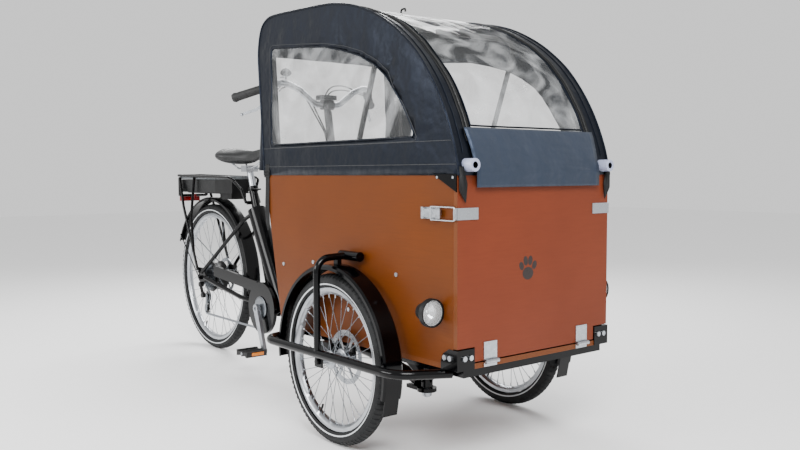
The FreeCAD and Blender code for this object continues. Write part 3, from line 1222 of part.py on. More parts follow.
def canopy_outline(inset):
    """Side view of the canopy as a face, drawn in the middle plane and drawn in by inset."""
    top = size("canopy_crown")
    low = size("box_top") + 1
    front = size("box_front") + 5
    points = [at(-496, 0, low), at(-526, 0, 1150), at(-523, 0, 1222), at(-500, 0, 1280), at(-441, 0, top),
              at(-150, 0, top - 11), at(129, 0, top - 76), at(307, 0, top - 197), at(416, 0, top - 350), at(front, 0, low)]
    edges = [Part.LineSegment(points[0], points[1]).toShape(), Part.Arc(points[1], points[2], points[3]).toShape(),
             Part.LineSegment(points[3], points[4]).toShape(), Part.LineSegment(points[4], points[5]).toShape(),
             Part.Arc(points[5], points[6], points[7]).toShape(), Part.Arc(points[7], points[8], points[9]).toShape(),
             Part.LineSegment(points[9], points[0]).toShape()]
    wire = Part.Wire(edges)
    if inset:
        wire = wire.makeOffset2D(-inset)
    return Part.Face(wire)


def canopy_solid(inset, half_width, drop=0):
    """The canopy's outline extruded across the tricycle, with its foot lengthened by drop."""
    solid = canopy_outline(inset).extrude(V(0, 2 * half_width, 0)).translated(V(0, -half_width, 0))
    if drop:
        box = solid.BoundBox
        foot = Part.makeBox(box.XLength - 4, 2 * half_width, drop + inset + 1,
                            V(box.XMin + 2, -half_width, box.ZMin - drop - inset))
        solid = solid.fuse(foot)
    return solid


ROLLER_Z = size("box_top") + 2.3 + size("sleeve_dia") / 2
SIDE_WINDOW = ((-443, 886), (-429, 1198), (-378, 1193), (-121, 1168), (58, 1122), (174, 1058), (240, 991), (301, 887))
REAR_WINDOW = ((-235, 888), (-235, 1190), (235, 1190), (235, 888))


def side_window_prism(grow, start, depth):
    wire = Part.makePolygon([at(x, start, z) for x, z in SIDE_WINDOW + SIDE_WINDOW[:1]])
    if grow:
        wire = wire.makeOffset2D(grow)
    return Part.Face(wire).extrude(V(0, depth, 0))


def front_window_region(grow):
    """The space over the roof's clear panel, from just behind the crown to above the flap."""
    return Part.makeBox(700, 440 + 2 * grow, 600, at(-112 - grow, -220 - grow, 906 - grow))


def canopy():
    """Fabric shell with cut-outs, its clear panels and the sleeves of the rear hoop."""
    half = size("box_half_width")
    thick = size("fabric")
    clear = size("sheet")
    lap = size("window_lap")
    shell = canopy_solid(0, half).cut(canopy_solid(thick, half - thick, 40))
    for start in (-half - 5, half - 10):
        shell = shell.cut(side_window_prism(0, start, 15))
    (x0, z0), (x1, z1) = REAR_WINDOW[0], REAR_WINDOW[2]
    rear_space = Part.makeBox(80, x1 - x0, z1 - z0, at(-560, x0, z0))
    shell = shell.cut(rear_space).cut(front_window_region(0))
    sleeves = []
    for side in (RIGHT, LEFT):
        foot = at(-531, side * (half - 28), 800)
        head = at(-519, side * (half - 28), 1180)
        sleeves.append(Part.makeCone(26, 13, (head - foot).Length, foot, head - foot))
    fabric = shell.multiFuse(sleeves).cut(canopy_solid(thick, half - thick, 40))
    for side in (RIGHT, LEFT):
        end = at(430, side * (half - 31), ROLLER_Z)
        fabric = fabric.cut(Part.makeCylinder(size("sleeve_dia") / 2 + 0.5, 80, end, X_AXIS))
    panes = []
    for start in (-half + thick, half - thick - clear):
        panes.append(side_window_prism(lap, start, clear))
    lining = canopy_solid(thick + 0.1, half - thick - 2).cut(canopy_solid(thick + clear, half - thick + 5, 40))
    lining_rear = lining.common(Part.makeBox(80, x1 - x0 + 2 * lap, z1 - z0 + 2 * lap, at(-560, x0 - lap, z0 - lap)))
    lining_front = lining.common(front_window_region(lap))
    return shaped("canopy_fabric", fabric), shaped("canopy_windows", Part.makeCompound(panes + [lining_rear, lining_front]))


def canopy_front_flap():
    """The fabric flap over the door's upper edge, with a pointed tail at each corner."""
    top = size("box_top")
    inside = ((474, top - 38), (475, top + 4), (464.7, top + 39), (456, top + 69), (446.3, top + 97))
    points = inside + tuple((x + 3, z) for x, z in reversed(inside))
    half = size("box_half_width")
    flap = plate("front_flap_sheet", points, 2 * half - 102, at(0, half - 50, 0))
    corner = ((-half, top + 14), (-half, top - 44), (4 - half, top - 52), (22 - half, top - 77), (27 - half, top - 30),
              (14 - half, top + 14))
    tail = plate("corner_tail", corner, 1.5, at(size("box_front") + 5.3, 0, 0), role="YZ_Plane")
    return group("canopy_front_flap", flap, tail, mirror("left_corner_tail", tail))


def canopy_frame():
    """Base rails with sleeved ends on the box's edges, and two bent hoops."""
    half = size("box_half_width")
    y = half - 31
    z = ROLLER_Z
    sleeve = ring("rail_sleeve", "sleeve_dia / 2", "hoop_dia / 2", 62, at(438, -y, z), X_AXIS)
    tubes = [("hoop_dia", [at(-470, side * y, z), at(455, side * y, z)], 10) for side, word in SIDES]
    for foot, head, crown in ((-450, -486, 1262), (-20, 128, 1206)):
        points = [at(foot, -y, z), at(head, -y, crown), at(head, y, crown), at(foot, y, z)]
        tubes.append(("hoop_dia", points, 50))
    welded = hollow("canopy_tubes", tubes)
    hook = pipe("roof_hook", 3, [at(-126, 0, 1294.5), at(-126, 0, 1314), at(-104, 0, 1314), at(-104, 0, 1304)], 8)
    return group("canopy_frame", welded, sleeve, mirror("left_sleeve", sleeve), hook)


def canopy_straps():
    """A webbing tail at each rear corner of the box, held by a buckle."""
    half = size("box_half_width")
    top = size("box_top")
    outline_points = ((-486, 612), (-461, 600), (-461, top + 30), (-486, top + 30))
    tail = plate("rear_strap", outline_points, 1.5, at(0, -half - 0.3, 0))
    buckle = block("rear_buckle", 31, 6, 24, at(-489, -half - 8, top - 14))
    return both("canopy_straps", group("right_straps", tail, buckle))


# ---------------------------------------------------------------- the whole tricycle

nodes = []


def keep(label, thing):
    thing.Label = label
    nodes.append(thing)
    return thing


for side, word in SIDES:
    carcass, wheel = front_wheel(side, word)
    keep(f"front_{word}_tyre", carcass)
    keep(f"front_{word}_wheel", wheel)
carcass, wheel = rear_wheel()
keep("rear_tyre", carcass)
keep("rear_wheel", wheel)

keep("rear_frame", rear_frame())
keep("king_pin", king_pin())
keep("rear_hardware", rear_hardware())
keep("rear_fender", rear_fender())
keep("chain_case", chain_case())
keep("chain", chain())
keep("cassette", cassette())
arms, pedal_eyes = crankset()
keep("crank_arms", arms)
keep("chainring", chainring())
for side, word in SIDES:
    keep(f"{word}_pedal", pedal(f"{word}_pedal", pedal_eyes[side], side))
fixed, cage = derailleur()
keep("derailleur_body", fixed)
keep("derailleur_cage", cage)
keep("upper_jockey_wheel", jockey("upper_jockey_wheel", UPPER_JOCKEY))
keep("lower_jockey_wheel", jockey("lower_jockey_wheel", LOWER_JOCKEY))
keep("seat_post", seat_post())
keep("saddle", saddle())
keep("carrier_frame", carrier())
keep("carrier_deck", deck())
keep("battery", battery())
keep("battery_dock", battery_dock())
keep("tail_light", tail_light())

keep("front_frame", front_frame())
keep("front_hardware", front_hardware())
keep("wheel_guards", wheel_guards())
keep("front_fenders", front_fenders())
keep("floor_panel", floor_panel())
keep("side_panels", side_panels())
keep("rear_panel", rear_panel())
keep("door_panel", door_panel())
keep("door_fittings", door_fittings())
keep("box_hardware", box_hardware())
for word, thing in zip(("lever_right", "lever_left", "loop_right", "loop_left"), latches()):
    keep(f"latch_{word}", thing)
keep("corner_protectors", corner_protectors())
keep("box_fasteners", box_fasteners())
housings, lenses = lamps()
keep("lamp_housings", housings)
keep("lamp_lenses", lenses)
keep("handlebar_post", handlebar_post())
keep("handlebar", handlebar())
keep("grips", grips())
keep("bar_controls", bar_controls())
keep("bell_lever", bell_lever())
keep("shift_collar", twist_shifter())
lever = keep("brake_lever_right", brake_lever("brake_lever_right"))
keep("brake_lever_left", mirror("brake_lever_left", lever))
keep("control_cables", control_cables())
fabric, panes = canopy()
keep("canopy_fabric", fabric)
keep("canopy_windows", panes)
keep("canopy_front_flap", canopy_front_flap())
keep("canopy_frame", canopy_frame())
keep("canopy_straps", canopy_straps())

doc.recompute()
faults = [f"{item.Label}: {item.State}" for item in doc.Objects
          if "Invalid" in item.State or "Error" in item.State]
for node in nodes:
    if node.Shape.isNull() or not node.Shape.isValid() or not node.Shape.Solids:
        faults.append(f"{node.Label}: shape is not sound")
if faults:
    raise RuntimeError("; ".join(faults))

os.makedirs("parts", exist_ok=True)
whole = FreeCAD.BoundBox()
for node in nodes:
    node.Shape.exportStep(f"parts/{node.Label}.step")
    whole.add(node.Shape.BoundBox)
    print(f"{node.Label:22s} solids {len(node.Shape.Solids):3d}  litres {node.Shape.Volume / 1e6:8.3f}")
print(len(nodes), "nodes; X", round(whole.XMin, 1), round(whole.XMax, 1), "Y", round(whole.YMin, 1),
      round(whole.YMax, 1), "Z", round(whole.ZMin, 1), round(whole.ZMax, 1))
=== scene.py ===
# %% [markdown]
# # A tricycle that carries dogs
# A plywood box with a fabric hood rides between two front wheels, and the rear half of an electric
# bicycle pushes it. The whole front end turns about one upright pin under the box. The metal and board
# parts are loaded as they were designed, and this script gives them their finishes, then models the
# pieces whose shape is soft, woven or finely detailed.

# %% Load the frame
import math

import bmesh
import bpy
from mathutils import Matrix, Vector, noise


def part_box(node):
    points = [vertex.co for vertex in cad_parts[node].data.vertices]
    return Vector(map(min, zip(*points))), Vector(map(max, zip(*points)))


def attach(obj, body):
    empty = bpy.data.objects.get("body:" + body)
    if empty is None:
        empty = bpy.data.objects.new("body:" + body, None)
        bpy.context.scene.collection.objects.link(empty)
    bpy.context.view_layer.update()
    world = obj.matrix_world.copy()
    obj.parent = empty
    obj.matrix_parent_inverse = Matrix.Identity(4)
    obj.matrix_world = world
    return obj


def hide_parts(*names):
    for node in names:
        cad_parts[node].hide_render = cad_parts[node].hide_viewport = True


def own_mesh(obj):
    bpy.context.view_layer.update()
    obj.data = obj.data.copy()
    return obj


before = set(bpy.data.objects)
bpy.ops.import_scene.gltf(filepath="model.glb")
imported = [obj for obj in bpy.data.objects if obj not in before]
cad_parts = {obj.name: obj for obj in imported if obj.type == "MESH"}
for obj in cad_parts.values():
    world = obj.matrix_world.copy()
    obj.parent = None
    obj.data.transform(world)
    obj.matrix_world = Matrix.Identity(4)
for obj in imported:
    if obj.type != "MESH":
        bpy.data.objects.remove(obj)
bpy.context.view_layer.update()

# %% [markdown]
# ## Measuring from the front axle
# Every size below is in millimetres from the middle of the front axle, because the two front wheels,
# the king pin and the middle of the box all lie on it. Forward is X, left is Y and up is Z.

# %% The front axle
tyre_low, tyre_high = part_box("front_right_tyre")
AXLE_X = (tyre_low.x + tyre_high.x) / 2


def at(x, y, z):
    return Vector((AXLE_X + x / 1000, y / 1000, z / 1000))


print("front axle at x =", round(AXLE_X, 4))

# %% [markdown]
# ## The camera
# The tricycle is seen from the front right, at the height of the box's lid, from about two and a half
# metres. A 38 mm lens on a full-size sensor gives that much perspective. The camera is turned by a
# matrix whose columns are its right, up and backward directions.

# %% Camera
YAW, PITCH, ROLL = 0.899502, -0.0618308, -0.003294
ahead = Vector((-math.sin(YAW) * math.cos(PITCH), math.cos(YAW) * math.cos(PITCH), math.sin(PITCH)))
level_right = ahead.cross(Vector((0, 0, 1))).normalized()
level_up = level_right.cross(ahead)
right = math.cos(ROLL) * level_right + math.sin(ROLL) * level_up
up = math.cos(ROLL) * level_up - math.sin(ROLL) * level_right
camera = bpy.data.objects.new("camera", bpy.data.cameras.new("camera"))
camera.data.lens = 38.04
camera.data.sensor_width = 36
camera.data.clip_start = 0.05
camera.data.dof.use_dof = False
turned = Matrix((right, up, -ahead)).transposed().to_4x4()
camera.matrix_world = Matrix.Translation(at(2025.41, -1716.26, 791.06)) @ turned
bpy.context.scene.collection.objects.link(camera)
bpy.context.scene.camera = camera
print("camera", [round(c, 3) for c in camera.location])

# %% [markdown]
# ## Floor and light
# A catalogue picture is lit by large soft boxes, so shadows are faint and black paint shows long pale
# reflections. Three big area lights and a bright surround do that here: one over the front, one low
# from the side for the wheels, and one behind for the rims of the tubes.

# %% Helpers for colours, nodes and objects
def linear(code):
    """An sRGB hex colour as linear red, green, blue and alpha."""
    parts = [int(code[i:i + 2], 16) / 255 for i in (1, 3, 5)]
    return [v / 12.92 if v <= 0.04045 else ((v + 0.055) / 1.055) ** 2.4 for v in parts] + [1.0]


def add(tree, kind, inputs=None, **settings):
    """Adds a node, sets its properties, and sets or links its inputs."""
    node = tree.nodes.new(kind)
    for key, value in settings.items():
        setattr(node, key, value)
    for key, value in (inputs or {}).items():
        if isinstance(value, bpy.types.NodeSocket):
            tree.links.new(value, node.inputs[key])
        else:
            node.inputs[key].default_value = value
    return node


def piece(name, bm, body, *finishes, slot=None, smooth=math.radians(35)):
    """Makes an object of a bmesh, gives it its materials and lets it ride on a body."""
    mesh = bpy.data.meshes.new(name)
    bm.to_mesh(mesh)
    bm.free()
    for finish in finishes:
        mesh.materials.append(finish)
    if smooth:
        mesh.shade_smooth()
        mesh.set_sharp_from_angle(angle=smooth)
    obj = bpy.data.objects.new(name, mesh)
    bpy.context.scene.collection.objects.link(obj)
    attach(obj, body)
    print(name, len(mesh.polygons), "faces on", body)
    return obj


# %% Floor, surround and lamps
floor_bm = bmesh.new()
bmesh.ops.create_grid(floor_bm, x_segments=1, y_segments=1, size=14)
floor_mesh = bpy.data.meshes.new("floor")
floor_bm.to_mesh(floor_mesh)
floor_bm.free()
floor = bpy.data.objects.new("floor", floor_mesh)
bpy.context.scene.collection.objects.link(floor)
chalk = bpy.data.materials.new("matt_white_floor")
chalk.use_nodes = True
tree = chalk.node_tree
tree.nodes.clear()
coords = add(tree, "ShaderNodeTexCoord").outputs["Object"]
speck = add(tree, "ShaderNodeTexNoise", {"Vector": coords, "Scale": 40.0})
pale = add(tree, "ShaderNodeMix", {0: speck.outputs[0], 6: linear("#f6f6f6"), 7: linear("#f9f9f9")}, data_type="RGBA")
chalk_face = add(tree, "ShaderNodeBsdfPrincipled", {"Base Color": pale.outputs[2], "Roughness": 0.85})
add(tree, "ShaderNodeOutputMaterial", {"Surface": chalk_face.outputs[0]})
floor.data.materials.append(chalk)

world = bpy.data.worlds.new("studio")
bpy.context.scene.world = world
world.use_nodes = True
world.node_tree.nodes["Background"].inputs["Color"].default_value = linear("#ffffff")
world.node_tree.nodes["Background"].inputs["Strength"].default_value = 1.0


def softbox(name, place, target, width, height, watts):
    light = bpy.data.lights.new(name, "AREA")
    light.shape = "RECTANGLE"
    light.size, light.size_y, light.energy = width, height, watts
    obj = bpy.data.objects.new(name, light)
    obj.location = place
    obj.rotation_euler = (target - place).to_track_quat("-Z", "Y").to_euler()
    bpy.context.scene.collection.objects.link(obj)


softbox("key_softbox", at(2600, -1500, 3000), at(0, 0, 600), 2.0, 1.4, 190)
softbox("side_softbox", at(-1100, -3400, 1900), at(-400, 0, 500), 2.6, 1.0, 110)
softbox("back_softbox", at(-2600, 1600, 2600), at(-400, 0, 700), 2.2, 1.4, 120)
print("floor, surround and three softboxes")

# %% [markdown]
# ## Finishes
# No real surface is one even colour. Handling, moulding and plating leave patches a few centimetres
# wide, and a grain below a millimetre. So each finish starts from the same three things: a colour that
# drifts between two shades, a roughness that drifts with it, and a fine bump. Patterns that belong to one
# material, such as ply layers or a weave, are added to that afterwards. A grain too fine for the picture
# is drawn a little coarser, so that it still breaks up the highlights.

# %% The common start of every finish
def surface(name, colour, shade, patch, rough, grain, depth, **sockets):
    """A finish and its nodes. Patch, grain and depth (the grain's height) are millimetres; rough is (smooth, dull)."""
    finish = bpy.data.materials.new(name)
    finish.use_nodes = True
    tree = finish.node_tree
    tree.nodes.clear()
    coords = add(tree, "ShaderNodeTexCoord").outputs["Object"]
    drift = add(tree, "ShaderNodeTexNoise", {"Vector": coords, "Scale": 1000 / patch, "Detail": 3.0})
    blend = add(tree, "ShaderNodeMix", {0: drift.outputs[0], 6: linear(colour), 7: linear(shade)}, data_type="RGBA")
    dull = add(tree, "ShaderNodeMapRange", {0: drift.outputs[0], 1: 0.3, 2: 0.7, 3: rough[0], 4: rough[1]})
    fine = add(tree, "ShaderNodeTexNoise", {"Vector": coords, "Scale": 1000 / grain, "Detail": 2.0})
    relief = add(tree, "ShaderNodeBump", {"Height": fine.outputs[0], "Distance": depth / 1000, "Strength": 1.0})
    shader = add(tree, "ShaderNodeBsdfPrincipled",
                 {"Base Color": blend.outputs[2], "Roughness": dull.outputs[0], "Normal": relief.outputs[0], **sockets})
    add(tree, "ShaderNodeOutputMaterial", {"Surface": shader.outputs[0]})
    return {"finish": finish, "tree": tree, "coords": coords, "blend": blend, "relief": relief, "shader": shader}


# %% [markdown]
# ### Paint, plating and metals
# The frame is gloss black powder coat: the powder flows as it bakes and leaves a faint orange peel about
# two millimetres across, under a hard clear skin. The fittings are zinc plated steel, pale and slightly
# cloudy. Rims are polished aluminium, and spokes are drawn stainless wire.

# %% Metal finishes
gloss_black = surface("powder_coat_gloss_black", "#010102", "#020203", 60, (0.10, 0.2), 2.2, 0.02,
                      **{"IOR": 1.5, "Specular IOR Level": 0.16, "Coat Weight": 0.08, "Coat Roughness": 0.05})["finish"]
satin_black = surface("paint_satin_black", "#040405", "#070708", 45, (0.34, 0.48), 1.6, 0.02,
                      **{"IOR": 1.5, "Specular IOR Level": 0.22})["finish"]
zinc = surface("zinc_plated_steel", "#c9ccd0", "#a8adb4", 14, (0.22, 0.42), 1.2, 0.015, Metallic=1.0)["finish"]
steel = surface("drawn_stainless_steel", "#84888d", "#6c7075", 20, (0.24, 0.38), 0.9, 0.01, Metallic=1.0)["finish"]
polished = surface("polished_aluminium", "#b9bcc0", "#a6a9ae", 40, (0.26, 0.4), 1.0, 0.008, Metallic=1.0)["finish"]
cast = surface("cast_aluminium_alloy", "#b4b7bb", "#9a9ea4", 18, (0.3, 0.45), 1.3, 0.03, Metallic=1.0)["finish"]
chrome = surface("chromed_reflector", "#e3e5e8", "#cfd2d6", 9, (0.05, 0.12), 2.0, 0.05, Metallic=1.0)["finish"]
print("8 metal finishes")

# %% [markdown]
# ### Rubber and plastics
# Tyre rubber is a very dark grey with a dry bloom. Grips are softer rubber, and the battery and lamp
# housings are moulded ABS with a spark-eroded grain. The carrier's deck is a grey polypropylene.

# %% Rubber and moulded plastic finishes
tyre_rubber = surface("tyre_rubber_black", "#08090a", "#0e0f11", 22, (0.55, 0.75), 1.1, 0.09,
                      **{"IOR": 1.52, "Specular IOR Level": 0.3})["finish"]
reflective = surface("reflective_tyre_band", "#d4d7d9", "#b9bcbf", 12, (0.35, 0.5), 0.8, 0.03, IOR=1.5)["finish"]
grip_rubber = surface("grip_rubber_soft", "#0c0c0d", "#131415", 16, (0.55, 0.72), 1.0, 0.07, IOR=1.5)["finish"]
moulded = surface("abs_moulded_black", "#050506", "#090a0b", 30, (0.36, 0.52), 0.9, 0.035,
                  **{"IOR": 1.53, "Specular IOR Level": 0.25})["finish"]
battery_case = surface("abs_battery_case", "#060708", "#0b0c0d", 40, (0.3, 0.46), 0.9, 0.03,
                       **{"IOR": 1.53, "Specular IOR Level": 0.3})["finish"]
deck_grey = surface("polypropylene_deck_grey", "#5c6063", "#6b6f72", 35, (0.42, 0.58), 1.0, 0.03, IOR=1.49)["finish"]
amber = surface("amber_reflector", "#e8860c", "#c96a04", 6, (0.1, 0.25), 2.0, 0.25,
                **{"IOR": 1.49, "Coat Weight": 0.5})["finish"]
red_lens = surface("acrylic_red_lens", "#6e0204", "#870508", 8, (0.08, 0.2), 2.4, 0.25,
                   **{"IOR": 1.49, "Specular IOR Level": 0.2, "Coat Weight": 0.1})["finish"]
pale_sleeve = surface("pvc_sleeve_grey_blue", "#8d93ad", "#a2a7bd", 12, (0.3, 0.45), 1.0, 0.03, IOR=1.53)["finish"]
lamp_lens = surface("lamp_polycarbonate", "#e9ebec", "#f4f5f5", 9, (0.04, 0.1), 3.2, 0.25,
                    **{"IOR": 1.58, "Alpha": 0.22})["finish"]
print("10 rubber and plastic finishes")

# %% [markdown]
# ### Film-faced birch plywood
# The box is fifteen millimetre birch plywood with a reddish brown phenolic film baked on both faces. The
# film is satin, and the grain under it shows as faint long streaks. A cut edge shows the layers, pale
# birch between dark glue lines, 1.4 millimetres each. Where a board's own thickness is measured from its
# middle, anything within the last third of a millimetre is film, and the rest is edge.

# %% Plywood
PLY, FILM, PLY_LAYER = 0.015, 0.00035, 0.0014


def plywood(name, film, streak, middle, turn, axis, twin=None):
    """A board's finish. Middle is a point in its middle plane, turn leans that plane about Y, and axis is the
    way through. Twin is for a pair of boards in one piece: how far each one's middle lies from zero."""
    made = surface(name, film, streak, 220, (0.32, 0.46), 1.4, 0.02, **{"IOR": 1.5, "Specular IOR Level": 0.16})
    tree, coords = made["tree"], made["coords"]
    stretch = [26.0, 26.0, 26.0]
    stretch[0 if axis != 0 else 1] = 1.6
    grain_map = add(tree, "ShaderNodeMapping", {"Vector": coords, "Scale": stretch})
    grain = add(tree, "ShaderNodeTexNoise",
                {"Vector": grain_map.outputs[0], "Scale": 9.0, "Detail": 5.0, "Roughness": 0.65})
    spread = add(tree, "ShaderNodeMapRange", {0: grain.outputs[0], 1: 0.42, 2: 0.72, 3: 0.0, 4: 0.5})
    faced = add(tree, "ShaderNodeMix", {0: spread.outputs[0], 6: made["blend"].outputs[2], 7: linear(streak)},
                data_type="RGBA")
    flat = add(tree, "ShaderNodeMapping", {"Vector": coords, "Location": middle, "Rotation": (0, turn, 0)},
               vector_type="TEXTURE")
    through = add(tree, "ShaderNodeSeparateXYZ", {"Vector": flat.outputs[0]}).outputs[axis]
    if twin:
        either = add(tree, "ShaderNodeMath", {0: through}, operation="ABSOLUTE")
        through = add(tree, "ShaderNodeMath", {0: either.outputs[0], 1: twin}, operation="SUBTRACT").outputs[0]
    away = add(tree, "ShaderNodeMath", {0: through}, operation="ABSOLUTE")
    is_film = add(tree, "ShaderNodeMath", {0: away.outputs[0], 1: PLY / 2 - FILM}, operation="GREATER_THAN")
    layers = add(tree, "ShaderNodeMath", {0: through, 1: math.pi / PLY_LAYER}, operation="MULTIPLY")
    wave = add(tree, "ShaderNodeMath", {0: layers.outputs[0]}, operation="SINE")
    edge = add(tree, "ShaderNodeMix", {0: wave.outputs[0], 6: linear("#6d3c1c"), 7: linear("#3a1a0c")},
               data_type="RGBA")
    whole = add(tree, "ShaderNodeMix", {0: is_film.outputs[0], 6: edge.outputs[2], 7: faced.outputs[2]},
                data_type="RGBA")
    tree.links.new(whole.outputs[2], made["shader"].inputs["Base Color"])
    return made["finish"]


def middle_of(node):
    low_corner, high_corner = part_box(node)
    return tuple((low_corner + high_corner) / 2)


half_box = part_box("side_panels")[1].y
ply_sides = plywood("birch_plywood_side", "#643006", "#522604", (0, 0, 0), 0, 1, twin=half_box - PLY / 2)
door_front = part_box("door_panel")[1].x
ply_door = plywood("birch_plywood_door", "#71331d", "#602a17", (door_front - PLY / 2, 0, 0), 0, 0)
ply_floor = plywood("birch_plywood_floor", "#602a07", "#4e2204", middle_of("floor_panel"), 0, 2)
rear_face = max(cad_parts["rear_panel"].data.polygons, key=lambda polygon: polygon.area)
rear_middle = rear_face.center - PLY / 2 * rear_face.normal
rear_lean = math.atan2(-rear_face.normal.z, rear_face.normal.x)
ply_rear = plywood("birch_plywood_rear", "#642a06", "#522104", tuple(rear_middle), rear_lean, 0)
print("plywood, boards at y =", round(half_box, 4))

# %% [markdown]
# ### Coated canvas, clear sheet and leathercloth
# The hood is polyester canvas with a dark blue-grey polyurethane coat. Up close the coat follows the
# weave, and from a few steps it shows soft dents where the cloth hangs between its hoops. Its windows
# are half-millimetre clear PVC, which never lies quite flat, so highlights run over it in ripples, and a
# pale veil on the sheet is painted glare in smeared patches. The saddle is black leathercloth with a
# pebble grain about a millimetre across.

# %% Soft finishes
def coated_canvas(name, colour, shade, shine):
    """Canvas with the weave's bump on top of the soft dents."""
    made = surface(name, colour, shade, 70, (0.34, 0.5), 55, 5.0,
                   **{"IOR": 1.5, "Specular IOR Level": shine, "Specular Tint": linear("#a9bbe0")})
    turned = add(made["tree"], "ShaderNodeMapping", {"Vector": made["coords"], "Rotation": (0.0, 0.6, 0.0)})
    weave = add(made["tree"], "ShaderNodeTexWave",
                {"Vector": turned.outputs[0], "Scale": 130.0, "Distortion": 0.6},
                wave_type="BANDS", bands_direction="DIAGONAL")
    bump = add(made["tree"], "ShaderNodeBump",
               {"Height": weave.outputs[1], "Distance": 0.00009, "Strength": 0.6, "Normal": made["relief"].outputs[0]})
    made["tree"].links.new(bump.outputs[0], made["shader"].inputs["Normal"])
    return made["finish"]


canvas = coated_canvas("coated_polyester_canvas", "#05070b", "#030407", 0.28)
# The flap over the door is the same canvas, painted lighter and bluer with a stronger shine: painted light, for the
# front light that falls on its forward tilt.
flap_canvas_painted_lit = coated_canvas("coated_canvas_flap_painted_lit", "#2b323d", "#232932", 0.5)
binding = surface("woven_binding_tape", "#040506", "#08090a", 20, (0.6, 0.75), 1.4, 0.25,
                  **{"IOR": 1.5, "Specular IOR Level": 0.3})["finish"]
thread = surface("polyester_thread_grey", "#26282c", "#1b1d20", 5, (0.5, 0.65), 1.0, 0.1, IOR=1.5)["finish"]
zip_teeth = surface("nylon_zip_black", "#0c0d0e", "#151617", 8, (0.35, 0.5), 2.0, 0.6, IOR=1.5)["finish"]

# The sheet's near-white colour, seen through an opacity that drifts in long smeared patches, is painted glare: it
# stands in for the reflections that run over the wrinkled sheet.
made = surface("clear_pvc_sheet", "#e3e6e8", "#eef0f1", 160, (0.03, 0.08), 75, 4.0, **{"IOR": 1.53, "Alpha": 0.3})
clear_sheet, tree = made["finish"], made["tree"]
painted_glare_patches = add(tree, "ShaderNodeTexNoise", {"Vector": made["coords"], "Scale": 7.0, "Detail": 4.0, "Distortion": 1.5})
painted_glare_opacity = add(tree, "ShaderNodeMapRange", {0: painted_glare_patches.outputs[0], 1: 0.42, 2: 0.72, 3: 0.05, 4: 0.34})
tree.links.new(painted_glare_opacity.outputs[0], made["shader"].inputs["Alpha"])

made = surface("leathercloth_black", "#0a0b0c", "#111214", 30, (0.42, 0.56), 1.2, 0.02, IOR=1.5)
leathercloth, tree = made["finish"], made["tree"]
pebbles = add(tree, "ShaderNodeTexVoronoi", {"Vector": made["coords"], "Scale": 620.0}, feature="DISTANCE_TO_EDGE")
bump = add(tree, "ShaderNodeBump",
           {"Height": pebbles.outputs[0], "Distance": 0.0004, "Strength": 0.5, "Normal": made["relief"].outputs[0]})
tree.links.new(bump.outputs[0], made["shader"].inputs["Normal"])
print("canvas, binding, thread, zip, clear sheet and leathercloth")

# %% [markdown]
# ## Finishing the designed pieces
# A designed piece keeps its shape, and only takes a finish. Each line below names the finish and then
# the pieces that wear it. A few of these pieces are stood in for by modelled ones further down.

# %% Materials on the designed pieces
wearing = {
    gloss_black: ("rear_frame", "front_frame", "wheel_guards", "front_fenders", "rear_fender", "handlebar_post",
                  "carrier_frame", "chain_case", "rear_hardware", "corner_protectors"),
    satin_black: ("battery_dock", "derailleur_body", "front_hardware", "bar_controls", "control_cables"),
    zinc: ("door_fittings", "box_hardware", "latch_lever_right", "latch_lever_left", "latch_loop_right",
           "latch_loop_left", "box_fasteners", "king_pin"),
    steel: ("chain", "cassette", "chainring", "derailleur_cage", "front_right_wheel", "front_left_wheel", "rear_wheel"),
    polished: ("handlebar", "seat_post", "bell_lever"),
    cast: ("crank_arms", "brake_lever_right", "brake_lever_left"),
    lamp_lens: ("lamp_lenses",),
    tyre_rubber: ("front_right_tyre", "front_left_tyre", "rear_tyre"),
    grip_rubber: ("grips", "shift_collar", "right_pedal", "left_pedal"),
    moulded: ("upper_jockey_wheel", "lower_jockey_wheel", "canopy_frame", "lamp_housings"),
    battery_case: ("battery",),
    deck_grey: ("carrier_deck",),
    red_lens: ("tail_light",),
    leathercloth: ("saddle",),
    canvas: ("canopy_fabric",),
    flap_canvas_painted_lit: ("canopy_front_flap",),
    binding: ("canopy_straps",),
    clear_sheet: ("canopy_windows",),
    ply_sides: ("side_panels",),
    ply_door: ("door_panel",),
    ply_rear: ("rear_panel",),
    ply_floor: ("floor_panel",),
}
for finish, names in wearing.items():
    for name in names:
        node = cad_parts[name]
        if not node.material_slots:
            node.data.materials.append(finish)
        for slot in node.material_slots:
            slot.material = finish
print(sum(len(names) for names in wearing.values()), "designed pieces finished")

# %% [markdown]
# ## The hood
# The hood is one tailored cover: a long strip runs from the box's rear edge over two hoops to its front
# edge, and a shaped panel closes each side. Clear windows are sewn into all four faces. It could be
# draped by simulation, but it is laced tight over its hoops, so its shape is mostly its cut. So the strip
# is an outline drawn as a smooth curve and spun sideways in straight steps, the sides are filled from the
# same outline, and both are cut into small cells, so that the cloth can sag a few millimetres.

# %% Smooth lines and tubes
def smooth_line(points, resolution=3, closed=False):
    """Places along a smooth line that is steered by the given points."""
    curve = bpy.data.curves.new("guide", "CURVE")
    curve.dimensions = "3D"
    spline = curve.splines.new("NURBS")
    spline.points.add(len(points) - 1)
    for point, place in zip(spline.points, points):
        point.co = (*place, 1)
    spline.order_u = 3
    spline.use_cyclic_u = closed
    spline.use_endpoint_u = not closed
    spline.resolution_u = resolution
    guide = bpy.data.objects.new("guide", curve)
    mesh = bpy.data.meshes.new_from_object(guide)
    line = [vertex.co.copy() for vertex in mesh.vertices]
    bpy.data.meshes.remove(mesh)
    bpy.data.objects.remove(guide)
    return line


